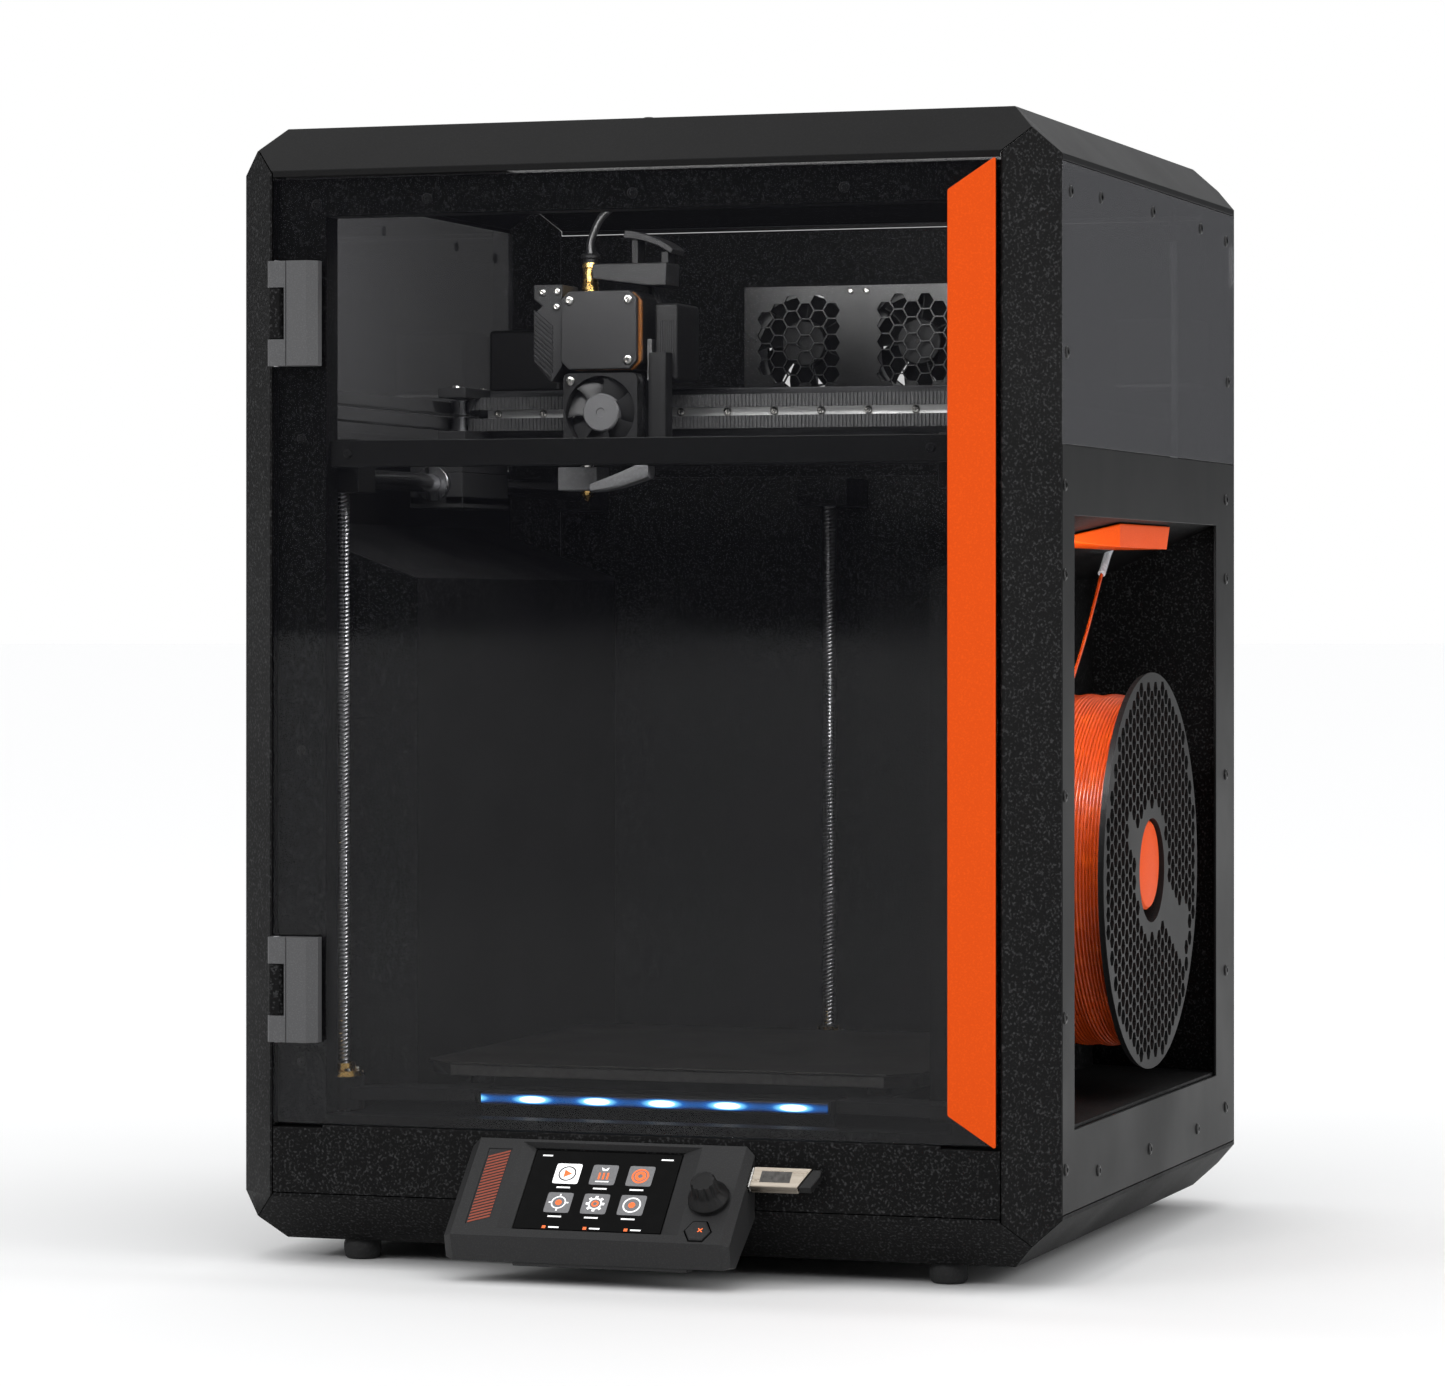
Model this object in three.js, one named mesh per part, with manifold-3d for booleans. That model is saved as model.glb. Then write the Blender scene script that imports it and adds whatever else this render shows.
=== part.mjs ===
// Enclosed desktop FDM printer: moving gantry, Z bed on three lead screws, glass door, side spool bay.
// Millimetres, +Z up. Inside the frame group x runs from the left face, y from the front face
// and z from the underside of the base tray. The group then centres the machine on its feet.
import * as THREE from 'three';
import { mergeVertices } from 'three/addons/utils/BufferGeometryUtils.js';
import { ConvexGeometry } from 'three/addons/geometries/ConvexGeometry.js';
import Module from 'manifold-3d';

const wasm = await Module();
wasm.setup();

// Outer body
const WIDTH = 415;
const DEPTH = 410;
const HEIGHT = 545;
const FOOT_HEIGHT = 10;
const PANEL_REACH = 42.2; // lower edge of the control panel, the foremost line of the machine
const CHAMFER = 22.5;
const SHEET = 1.5;
const GAP = 0.4;

// Levels and lines of the enclosure
const COLUMN = 23.5;
const LOW_SEAM = 24.7;
const SILL = 58;
const DOOR_TOP = 519;
const BAND_TOP = 386.4;
const FLOOR_TOP = 56;
const REAR_WALL_Y = 350;
const SHELF_Z = 381;

// Spool bay in the right side, mirrored by the electronics cover on the left
const BAY = { front: 46.6, rear: 344.5, low: 63, high: 353 };
const RECESS = {
  depth: 74,
  frontOut: 46.6,
  frontIn: 65,
  rearOut: 352,
  rearIn: 372,
  low: 64.6,
  highOut: 354,
  highIn: 324.5,
};

// Motion system
const SCREW_RADIUS = 4;
const SCREWS = { front_left: [46, 35], front_right: [369, 35], rear: [207.5, 325] };
const ROD_X = 42;
const ROD_Z = 374;
const ROD_RADIUS = 5;
const GANTRY_Y = 205;
const RAIL_Z = 410.5;
const NOZZLE = [122, 180, 364.4];
const SHEET_TOP = 86;

// Filament spool
const SPOOL = { x0: 345, x1: 410, y: 222, z: 177, radius: 99, hole: 26.3, wound: 89 };
const HOLDER_RADIUS = 23;

// Control panel, tilted in front of the lower panel
const PANEL = { x0: 129.2, x1: 271.5, topY: -0.6, topZ: 54.8, lowY: -PANEL_REACH, lowZ: 13.2 };

const group = new THREE.Group();
const frame = new THREE.Group();
frame.position.set(-WIDTH / 2, (PANEL_REACH - DEPTH) / 2, FOOT_HEIGHT);
group.add(frame);

// Materials -------------------------------------------------------------------------------------

function look(color, roughness, metalness) {
  return new THREE.MeshStandardMaterial({ color, roughness, metalness });
}

const POWDER = look(0x1b1c1d, 0.6, 0.4);
const SMOOTH = look(0x2b2c2e, 0.5, 0.5);
const GLASS = look(0x15171a, 0.1, 0.1);
const ORANGE = look(0xe2580f, 0.5, 0.0);
const PLASTIC = look(0x161617, 0.55, 0.0);
const STEEL = look(0xb9bbbd, 0.3, 1.0);
const ALUMINIUM = look(0x8d8f92, 0.4, 0.9);
const RUBBER = look(0x101010, 0.9, 0.0);
const BRASS = look(0xb58a3a, 0.35, 1.0);
const CLEAR = look(0xd8dade, 0.3, 0.0);

// Geometry helpers ------------------------------------------------------------------------------

function block(x0, x1, y0, y1, z0, z1) {
  const geometry = new THREE.BoxGeometry(x1 - x0, y1 - y0, z1 - z0);
  geometry.translate((x0 + x1) / 2, (y0 + y1) / 2, (z0 + z1) / 2);
  return geometry;
}

function outline(points) {
  return new THREE.Shape(points.map(([u, v]) => new THREE.Vector2(u, v)));
}

function extruded(shape, depth) {
  return new THREE.ExtrudeGeometry(shape, { depth, bevelEnabled: false, curveSegments: 8 });
}

// Outline in x and y, standing from z0 to z1.
function prismZ(shape, z0, z1) {
  const geometry = extruded(shape, z1 - z0);
  geometry.translate(0, 0, z0);
  return geometry;
}

// Outline in x and z, running from y0 to y1.
function prismY(shape, y0, y1) {
  const geometry = extruded(shape, y1 - y0);
  geometry.rotateX(Math.PI / 2);
  geometry.translate(0, y1, 0);
  return geometry;
}

// Outline in y and z, running from x0 to x1.
function prismX(shape, x0, x1) {
  const geometry = extruded(shape, x1 - x0);
  geometry.rotateX(Math.PI / 2);
  geometry.rotateZ(Math.PI / 2);
  geometry.translate(x0, 0, 0);
  return geometry;
}

function rodZ(x, y, radius, z0, z1, sides = 16) {
  const geometry = new THREE.CylinderGeometry(radius, radius, z1 - z0, sides);
  geometry.rotateX(Math.PI / 2);
  geometry.translate(x, y, (z0 + z1) / 2);
  return geometry;
}

function rodY(x, z, radius, y0, y1, sides = 16) {
  const geometry = new THREE.CylinderGeometry(radius, radius, y1 - y0, sides);
  geometry.translate(x, (y0 + y1) / 2, z);
  return geometry;
}

function hull(points) {
  return new ConvexGeometry(points.map(([x, y, z]) => new THREE.Vector3(x, y, z)));
}

// A ring or cup turned about the x axis: profile points are [radius, x].
function turnedX(profile, y, z, sides) {
  const geometry = new THREE.LatheGeometry(profile.map(([r, x]) => new THREE.Vector2(r, x)), sides);
  geometry.rotateZ(-Math.PI / 2);
  geometry.translate(0, y, z);
  return geometry;
}

function tube(points, radius, steps, sides) {
  const path = new THREE.CatmullRomCurve3(points.map(([x, y, z]) => new THREE.Vector3(x, y, z)));
  const circle = [];
  for (let i = 0; i < sides; i += 1) {
    const angle = (2 * Math.PI * i) / sides;
    circle.push([radius * Math.cos(angle), radius * Math.sin(angle)]);
  }
  return new THREE.ExtrudeGeometry(outline(circle), { extrudePath: path, steps, bevelEnabled: false });
}

function solid(geometry) {
  const bare = geometry.clone();
  bare.deleteAttribute('normal');
  bare.deleteAttribute('uv');
  const merged = mergeVertices(bare, 1e-4);
  const mesh = new wasm.Mesh({
    numProp: 3,
    vertProperties: new Float32Array(merged.attributes.position.array),
    triVerts: new Uint32Array(merged.index.array),
  });
  return new wasm.Manifold(mesh);
}

function shape(manifold) {
  const mesh = manifold.getMesh();
  const geometry = new THREE.BufferGeometry();
  geometry.setAttribute('position', new THREE.BufferAttribute(new Float32Array(mesh.vertProperties), 3));
  geometry.setIndex(new THREE.BufferAttribute(new Uint32Array(mesh.triVerts), 1));
  const loose = geometry.toNonIndexed();
  loose.computeVertexNormals();
  return loose;
}

function join(first, ...rest) {
  return shape(rest.reduce((sum, next) => sum.add(solid(next)), solid(first)));
}

function cut(first, ...rest) {
  return shape(rest.reduce((sum, next) => sum.subtract(solid(next)), solid(first)));
}

function common(first, second) {
  return shape(solid(first).intersect(solid(second)));
}

function add(name, geometry, material) {
  const mesh = new THREE.Mesh(geometry, material);
  mesh.name = name;
  frame.add(mesh);
  return mesh;
}

const mirrorX = (x) => WIDTH - x;

// Enclosure -------------------------------------------------------------------------------------

// The outer box with every edge chamfered, moved inwards by inset.
function chamferedBox(inset) {
  const chamfer = CHAMFER - inset * (2 - Math.SQRT2);
  const half = chamfer / 2;
  const corners = [[0, chamfer, chamfer], [chamfer, 0, chamfer], [chamfer, chamfer, 0], [half, half, half]];
  const points = [];
  for (const sideX of [0, 1]) {
    for (const sideY of [0, 1]) {
      for (const sideZ of [0, 1]) {
        for (const [x, y, z] of corners) {
          points.push([
            sideX ? WIDTH - inset - x : inset + x,
            sideY ? DEPTH - inset - y : inset + y,
            sideZ ? HEIGHT - inset - z : inset + z,
          ]);
        }
      }
    }
  }
  return hull(points);
}

// The region of one corner column, mitred at 45 degrees to the top frame and the base tray.
function columnRegion(sideX, sideY, size, slack) {
  const points = [];
  for (const [x, y] of [[-1, -1], [size, -1], [-1, size], [size, size]]) {
    const rise = Math.max(x, y) - slack;
    const px = sideX ? WIDTH - x : x;
    const py = sideY ? DEPTH - y : y;
    points.push([px, py, rise], [px, py, HEIGHT - rise]);
  }
  return hull(points);
}

function columnRegions() {
  const slack = 0.5;
  const size = COLUMN + slack;
  return [[0, 0], [1, 0], [0, 1], [1, 1]].map(([sideX, sideY]) => columnRegion(sideX, sideY, size, slack));
}

const outerBox = chamferedBox(0);
const shell = cut(outerBox, chamferedBox(SHEET));

function baseTray() {
  const low = common(shell, block(-1, WIDTH + 1, -1, DEPTH + 1, -1, LOW_SEAM - GAP));
  add('base_tray', cut(low, ...columnRegions()), POWDER);
}

const PANE = 3;
const TOP_WINDOW = { x0: 40, x1: 375, y0: 40, y1: 300 };
const TOP_VENT = { x0: 120, x1: 295, y0: 318, y1: 372, slots: 11 };

function topFrame() {
  const high = common(shell, block(-1, WIDTH + 1, -1, DEPTH + 1, DOOR_TOP + GAP, HEIGHT + 1));
  const window = block(TOP_WINDOW.x0, TOP_WINDOW.x1, TOP_WINDOW.y0, TOP_WINDOW.y1, HEIGHT - 10, HEIGHT + 1);
  const slots = [];
  const pitch = (TOP_VENT.x1 - TOP_VENT.x0) / TOP_VENT.slots;
  for (let i = 0; i < TOP_VENT.slots; i += 1) {
    const x = TOP_VENT.x0 + pitch * i;
    slots.push(block(x + 4, x + pitch - 4, TOP_VENT.y0, TOP_VENT.y1, HEIGHT - 10, HEIGHT + 1));
  }
  add('top_frame', cut(high, window, ...slots, ...columnRegions()), SMOOTH);
}

function topWindow() {
  const rim = 5;
  const top = HEIGHT - SHEET - GAP;
  const { x0, x1, y0, y1 } = TOP_WINDOW;
  add('top_window', block(x0 - rim, x1 + rim, y0 - rim, y1 + rim, top - PANE, top), GLASS);
}

// Folded column: the chamfer, a short face each side and two flanges turned inwards.
function frontColumns() {
  const flange = 18;
  const section = [
    [0, COLUMN], [0, CHAMFER], [CHAMFER, 0], [COLUMN, 0], [COLUMN, flange], [COLUMN - SHEET, flange],
    [COLUMN - SHEET, 5], [5, COLUMN - SHEET], [flange, COLUMN - SHEET], [flange, COLUMN],
  ];
  for (const [name, sideX] of [['column_front_left', 0], ['column_front_right', 1]]) {
    const turned = section.map(([x, y]) => [sideX ? mirrorX(x) : x, y]);
    const bar = common(prismZ(outline(turned), 0, HEIGHT), outerBox);
    const column = common(bar, columnRegion(sideX, 0, COLUMN, 0));
    add(name, sideX ? column : join(column, ...hingeKnuckles()), POWDER);
  }
}

const HINGES = { upper: [427, 478], lower: [98.5, 149.5] };
const KNUCKLE_HALF = 12.2;

// The fixed middle knuckle of each door hinge, on a tongue from the column. On its outer side it keeps
// within 4.7 mm of the pin's axis, inside the sweep of the leaf's inner edge.
function hingeKnuckles() {
  const plan = [
    [22.6, 0.6], [22.6, -2], [24.2, -5.5], [25.3, -8], [26.5, -9], [31.1, -9], [32.6, -7.5],
    [32.6, -2.5], [31.1, -1], [23.8, -1], [23.45, -0.2], [23.45, 0.6],
  ];
  return Object.values(HINGES).map(([low, high]) => {
    const middle = (low + high) / 2;
    return prismZ(outline(plan), middle - KNUCKLE_HALF, middle + KNUCKLE_HALF);
  });
}

function frontLowerPanel() {
  const x0 = COLUMN + GAP;
  const lip = 16;
  const section = [
    [0, LOW_SEAM], [SHEET, LOW_SEAM], [SHEET, SILL - 4], [lip, SILL - 4], [lip, SILL - 1.5], [0, SILL - 1.5],
  ];
  const panel = prismX(outline(section), x0, mirrorX(x0));
  add('front_lower_panel', join(panel, block(50, 362, 0, 3, SILL - 2, SILL)), POWDER);
}

// The ring the door closes on, with a flange turned back around its opening.
const OPENING = { x0: 50, x1: 366, z0: 63, z1: 500 };

function frontInnerFrame() {
  const back = 20;
  const x0 = COLUMN + 1;
  const plate = block(x0, mirrorX(x0), 5.5, 8, SILL + 0.5, DOOR_TOP - 0.4);
  const flange = block(OPENING.x0 - 2, OPENING.x1 + 2, 7, back, OPENING.z0 - 2, OPENING.z1 + 2);
  const hole = block(OPENING.x0, OPENING.x1, 0, back + 1, OPENING.z0, OPENING.z1);
  add('front_inner_frame', cut(join(plate, flange), hole), POWDER);
}

// The bar across the front opening, with the holders of the front screws and rods behind its ends.
// The holders end in front of everything that the gantry carries at the end of its travel.
const HOLDER_BACK = 44;

function frontCrossbar() {
  const bar = block(OPENING.x0 + 0.5, OPENING.x1 - 0.5, 9, 18, 378, 391);
  const pieces = [];
  const holes = [];
  for (const side of [0, 1]) {
    const at = (x) => (side ? mirrorX(x) : x);
    const [low, high] = [at(28), at(60)].sort((a, b) => a - b);
    const [near, far] = [at(51), at(60)].sort((a, b) => a - b);
    pieces.push(block(low, high, 22, HOLDER_BACK, 366, 392), block(near, far, 17, 23, 380, 390));
    holes.push(rodZ(at(46), 35, SCREW_RADIUS + GAP, 360, 386));
    holes.push(rodY(at(ROD_X), ROD_Z, ROD_RADIUS + GAP, HOLDER_BACK - 4, HOLDER_BACK + 1));
  }
  add('front_crossbar', cut(join(bar, ...pieces), ...holes), POWDER);
}

function leftSide() {
  const y0 = COLUMN + GAP;
  const y1 = DEPTH - y0;
  add('left_side_panel', block(0, SHEET, y0, y1, LOW_SEAM, BAND_TOP - 0.3), SMOOTH);
  add('left_window', block(0, PANE, y0, y1, BAND_TOP, DOOR_TOP), GLASS);
}

function rightSide() {
  const y0 = COLUMN + GAP;
  const y1 = DEPTH - y0;
  const panel = block(WIDTH - SHEET, WIDTH, y0, y1, LOW_SEAM, BAND_TOP - 0.3);
  const opening = block(WIDTH - 5, WIDTH + 1, BAY.front, BAY.rear, BAY.low, BAY.high);
  add('right_side_panel', cut(panel, opening), SMOOTH);
  add('right_window', block(WIDTH - PANE, WIDTH, y0, y1, BAND_TOP, DOOR_TOP), GLASS);
}

// The wedge-shaped recess, grown outwards by grow, on the right side or mirrored to the left.
function recess(grow, left) {
  const inner = WIDTH - RECESS.depth - grow;
  const points = [];
  for (const [x, front, rear, high] of [
    [WIDTH, RECESS.frontOut, RECESS.rearOut, RECESS.highOut],
    [inner, RECESS.frontIn, RECESS.rearIn, RECESS.highIn],
  ]) {
    for (const y of [front - grow, rear + grow]) {
      for (const z of [RECESS.low - grow, high + grow]) {
        points.push([left ? mirrorX(x) : x, y, z]);
      }
    }
  }
  return hull(points);
}

const WALL = 2;
const TUBE_ROUTE = [
  [376, 253, 327], [376, 272, 340.5], [381, 281, 347.5], [394, 291, 353], [402, 297, 364], [403, 300, 392],
  [403, 301, 440], [403, 300, 480], [402, 299, 506],
];

function spoolBay() {
  const rim = block(WIDTH - SHEET - GAP, WIDTH + 1, 0, DEPTH, 0, HEIGHT);
  const passage = tube(TUBE_ROUTE, 2.8, 24, 8);
  add('spool_bay', cut(recess(WALL, false), recess(0, false), rim, passage), POWDER);
}

function electronicsCover() {
  const rim = block(-1, SHEET + GAP, 0, DEPTH, 0, HEIGHT);
  add('electronics_cover', cut(recess(0, true), recess(-WALL, true), rim), POWDER);
}

// Chamber floor, rear wall and shelf folded from one sheet, with the rear screw's holder.
function chamberLiner() {
  const left = RECESS.depth + WALL + GAP;
  const right = mirrorX(left);
  const floor = block(26, mirrorX(26), 20, REAR_WALL_Y + WALL, FLOOR_TOP - WALL, FLOOR_TOP);
  const wall = block(left, right, REAR_WALL_Y, REAR_WALL_Y + WALL, FLOOR_TOP - WALL, SHELF_Z);
  const shelf = block(left, right, REAR_WALL_Y, DEPTH - 4, SHELF_Z - WALL, SHELF_Z);
  const [x, y] = SCREWS.rear;
  const holder = block(x - 14, x + 14, y - 13, REAR_WALL_Y + 1, 364, 379);
  const holes = Object.values(SCREWS).map(([sx, sy]) => rodZ(sx, sy, 6, FLOOR_TOP - 4, FLOOR_TOP + 4));
  const bearing = rodZ(x, y, SCREW_RADIUS + GAP, 360, 374);
  add('chamber_liner', cut(join(floor, wall, shelf, holder), ...holes, bearing), POWDER);
}

const EXHAUST = { xs: [174.5, 240.5], z: 455, bore: 28, front: 378.8, rear: 406.8 };
const INLET = { x0: 62, x1: 94, z0: 94, z1: 123 };

// Rear sheet with its two folded corners, fan openings, inlet opening and the rod brackets inside.
function rearPanel() {
  const bend = SHEET * (Math.SQRT2 - 1);
  const section = [
    [0, DEPTH - COLUMN], [0, DEPTH - CHAMFER], [CHAMFER, DEPTH], [WIDTH - CHAMFER, DEPTH],
    [WIDTH, DEPTH - CHAMFER], [WIDTH, DEPTH - COLUMN], [WIDTH - SHEET, DEPTH - COLUMN],
    [WIDTH - CHAMFER - bend, DEPTH - SHEET], [CHAMFER + bend, DEPTH - SHEET], [SHEET, DEPTH - COLUMN],
  ];
  const full = common(prismZ(outline(section), 0, HEIGHT), outerBox);
  const corners = [0, 1].map((sideX) => common(full, columnRegion(sideX, 1, COLUMN, 0)));
  const middle = block(COLUMN - 1, mirrorX(COLUMN - 1), DEPTH - 10, DEPTH + 1, LOW_SEAM, DOOR_TOP);
  const sheet = join(common(full, middle), ...corners);
  const tools = EXHAUST.xs.map((x) => rodY(x, EXHAUST.z, EXHAUST.bore, DEPTH - 5, DEPTH + 1, 24));
  tools.push(block(INLET.x0 - 0.6, INLET.x1 + 0.6, DEPTH - 5, DEPTH + 1, INLET.z0 - 0.6, INLET.z1 + 0.6));
  const brackets = [];
  for (const x of [ROD_X, mirrorX(ROD_X)]) {
    brackets.push(block(x - 10, x + 10, 378, DEPTH - SHEET + 0.5, ROD_Z - 10, ROD_Z + 10));
    tools.push(rodY(x, ROD_Z, ROD_RADIUS + GAP, 370, 390));
  }
  add('rear_panel', cut(join(sheet, ...brackets), ...tools), POWDER);
}

// A folded case with vents in its lid, beside the mains inlet module.
function powerSupply() {
  const low = FLOOR_TOP + 4;
  const high = 165;
  const inside = block(100 + SHEET, 301, 356 + SHEET, 403 - SHEET, low + SHEET, high - SHEET);
  const box = cut(block(100, 300, 356, 403, low, high), inside);
  const module = block(58, 101, 375, 404, 88, 129);
  const nose = block(INLET.x0, INLET.x1, 403, DEPTH - 0.2, INLET.z0, INLET.z1);
  const socket = block(INLET.x0 + 3.5, INLET.x1 - 3.5, DEPTH - 16, DEPTH, INLET.z0 + 5, INLET.z1 - 5);
  const pins = [-7, 0, 7].map((dx) => {
    const x = (INLET.x0 + INLET.x1) / 2 + dx;
    const z = (INLET.z0 + INLET.z1) / 2 + (dx === 0 ? 3 : -3);
    return block(x - 1, x + 1, DEPTH - 17, DEPTH - 5, z - 2, z + 2);
  });
  add('power_supply', join(cut(join(box, module, nose), socket), ...pins), ALUMINIUM);
}

// A flat hexagon with two level corners, of inner radius r.
function hexagon(x, z, r) {
  const corner = r / Math.cos(Math.PI / 6);
  const points = [];
  for (let i = 0; i < 6; i += 1) {
    const angle = (Math.PI / 3) * i;
    points.push([x + corner * Math.cos(angle), z + corner * Math.sin(angle)]);
  }
  return outline(points);
}

// Both exhaust fan bodies behind one hexagon grille.
function exhaustHousing() {
  const half = 33;
  const middle = (EXHAUST.xs[0] + EXHAUST.xs[1]) / 2;
  const { xs, z: level, bore, front, rear } = EXHAUST;
  const box = block(middle - 2 * half, middle + 2 * half, front, rear, level - 31, level + 31);
  const bores = xs.map((x) => rodY(x, level, bore, front + 3, rear + 1, 24));
  const cells = [];
  const across = 5.6;
  const pitchX = (across + 0.7) * Math.sqrt(3);
  const pitchZ = 2 * (across + 0.7);
  for (let column = -5; column <= 5; column += 1) {
    const shift = Math.abs(column) % 2 ? pitchZ / 2 : 0;
    for (let row = -2; row <= 2; row += 1) {
      const x = middle + column * pitchX;
      const z = level + row * pitchZ + shift;
      const inside = xs.some((cx) => Math.hypot(x - cx, z - level) < bore - across - 0.6);
      if (inside) {
        cells.push(prismY(hexagon(x, z, across), front - 1, front + 4));
      }
    }
  }
  const arms = [];
  for (const x of xs) {
    arms.push(block(x - half + 2, x + half - 2, rear - 4, rear - 0.5, level - 3, level + 3));
    arms.push(rodY(x, level, 12, rear - 4, rear - 0.5, 20));
  }
  add('exhaust_fan_housing', join(cut(box, ...bores, ...cells), ...arms), PLASTIC);
}

// A fan rotor about the y axis: hub with pitched blades.
function rotor(x, z, y0, y1, hub, tip, blades) {
  const parts = [rodY(x, z, hub, y0, y1, 20)];
  for (let i = 0; i < blades; i += 1) {
    const twist = 0.42;
    const points = [];
    for (const [radius, lean] of [[hub - 1, 0], [tip, 0.2]]) {
      for (const [y, turn] of [[y0 + 1, -twist], [y1 - 1, twist]]) {
        for (const edge of [0, 0.9 / radius]) {
          const angle = (2 * Math.PI * i) / blades + turn * (hub / radius + 0.35) + lean + edge;
          points.push([x + radius * Math.cos(angle), y, z + radius * Math.sin(angle)]);
        }
      }
    }
    parts.push(hull(points));
  }
  return join(...parts);
}

function exhaustRotors() {
  ['exhaust_rotor_left', 'exhaust_rotor_right'].forEach((name, i) => {
    add(name, rotor(EXHAUST.xs[i], EXHAUST.z, 384, EXHAUST.rear - 5, 11, 26.5, 7), PLASTIC);
  });
}

function feet() {
  for (const [name, x, y] of [
    ['foot_front_left', 57.8, 33], ['foot_front_right', 357.2, 33],
    ['foot_rear_left', 57.8, DEPTH - 33], ['foot_rear_right', 357.2, DEPTH - 33],
  ]) {
    const profile = [[0, -FOOT_HEIGHT], [8, -FOOT_HEIGHT], [9.2, -8.5], [9.2, -2], [8.2, -0.3], [0, -0.3]];
    const geometry = new THREE.LatheGeometry(profile.map(([r, z]) => new THREE.Vector2(r, z)), 20);
    geometry.rotateX(Math.PI / 2);
    geometry.translate(x, y, 0);
    add(name, geometry, RUBBER);
  }
}

// Door ------------------------------------------------------------------------------------------

function door() {
  const x0 = COLUMN + 0.7;
  add('door_glass', block(x0, 390, 0, 4, SILL + 0.5, DOOR_TOP - 0.3), GLASS);
  const strip = [[389.5, 57.8], [389.5, 519.1], [366.5, 504.3], [366.5, 72.7]];
  add('door_handle', prismY(outline(strip), -3.4, -GAP), ORANGE);
  const plate = [[33.8, -GAP], [33.8, -7.8], [35.5, -9.5], [45.5, -9.5], [50, -5], [50, -GAP]];
  const barrel = [[24.6, -1], [24.6, -7.5], [26, -9], [34.5, -9], [34.5, -1]];
  for (const [name, [low, high]] of Object.entries(HINGES)) {
    const middle = (low + high) / 2;
    const slot = block(20, 33.7, -12, 0, middle - KNUCKLE_HALF - 0.4, middle + KNUCKLE_HALF + 0.4);
    const leaf = join(prismZ(outline(plate), low, high), cut(prismZ(outline(barrel), low, high), slot));
    add(`hinge_leaf_${name}`, leaf, PLASTIC);
  }
}

// Bed and lead screws ---------------------------------------------------------------------------

function bed() {
  const plate = block(95, 320, 60, 290, 68, 74);
  const arm = [[38, 27], [54, 27], [115, 38], [115, 62], [90, 62], [54, 43], [38, 43]];
  const parts = [
    prismZ(outline(arm), 68, 74),
    prismZ(outline(arm.map(([x, y]) => [mirrorX(x), y])), 68, 74),
    block(196, 219, 285, 334, 68, 74),
  ];
  for (const [x, y] of [[105, 75], [310, 75], [105, 275], [310, 275]]) {
    parts.push(rodZ(x, y, 6, 73, 78.6, 12));
  }
  const bores = [];
  for (const [x, y] of Object.values(SCREWS)) {
    parts.push(rodZ(x, y, 11, 63, 79, 20));
    bores.push(rodZ(x, y, SCREW_RADIUS + GAP, 60, 82));
  }
  add('bed_frame', cut(join(plate, ...parts), ...bores), PLASTIC);

  const heated = [[96, 53], [319, 53], [333, 67], [333, 296], [82, 296], [82, 67]];
  add('heatbed', prismZ(outline(heated), 79, SHEET_TOP - 1.4), ALUMINIUM);
  const steel = [[94, 50], [321, 50], [334.5, 63], [334.5, 291], [80.5, 291], [80.5, 63]];
  add('print_sheet', prismZ(outline(steel), SHEET_TOP - 1, SHEET_TOP), look(0x1c1b1a, 0.6, 0.6));
}

function leadScrews() {
  for (const [name, [x, y]] of Object.entries(SCREWS)) {
    const top = name === 'rear' ? 372 : 384;
    add(`lead_screw_${name}`, rodZ(x, y, SCREW_RADIUS, FLOOR_TOP - 3, top, 12), STEEL);
  }
}

function ledBar() {
  const diffuser = block(117.5, 298, 35, 44, 66.8, 73.4);
  const foot = block(117.5, 298, 41.5, 44, FLOOR_TOP + 0.3, 67);
  add('led_bar', join(diffuser, foot), PLASTIC);
}

function yRods() {
  add('y_rod_left', rodY(ROD_X, ROD_Z, ROD_RADIUS, HOLDER_BACK - 3.5, 389.5), STEEL);
  add('y_rod_right', rodY(mirrorX(ROD_X), ROD_Z, ROD_RADIUS, HOLDER_BACK - 3.5, 389.5), STEEL);
}

// Gantry ----------------------------------------------------------------------------------------

function gantry() {
  add('x_beam', block(58.5, mirrorX(58.5), GANTRY_Y, GANTRY_Y + 16, 398, 423), ALUMINIUM);
  for (const [name, side] of [['y_carriage_left', 0], ['y_carriage_right', 1]]) {
    const at = (x0, x1, ...rest) => {
      return side ? block(mirrorX(x1), mirrorX(x0), ...rest) : block(x0, x1, ...rest);
    };
    const x = side ? mirrorX(ROD_X) : ROD_X;
    const body = join(
      at(28, 58, 168, 235, 361, 391),
      at(32, 58, 172, 232, 389, 424),
      rodY(x, ROD_Z, 11, 164.5, 169, 20),
    );
    const belt = at(34, 41.5, 160, 240, 402.5, 417.5);
    add(name, cut(body, rodY(x, ROD_Z, ROD_RADIUS + GAP, 160, 240), belt), PLASTIC);
  }
}

// Toolhead --------------------------------------------------------------------------------------

function xCarriage() {
  const plate = block(119, 153, 188, 204.6, 395.5, 425);
  const rail = block(110, 160, 197, 210, RAIL_Z - 6.7, RAIL_Z + 6.7);
  const upperBelt = block(110, 160, 192.7, 195.9, 412, 419.8);
  const lowerBelt = block(110, 160, 192.7, 195.9, 401.2, 409);
  add('x_carriage', cut(plate, rail, upperBelt, lowerBelt), ALUMINIUM);
}

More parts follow.
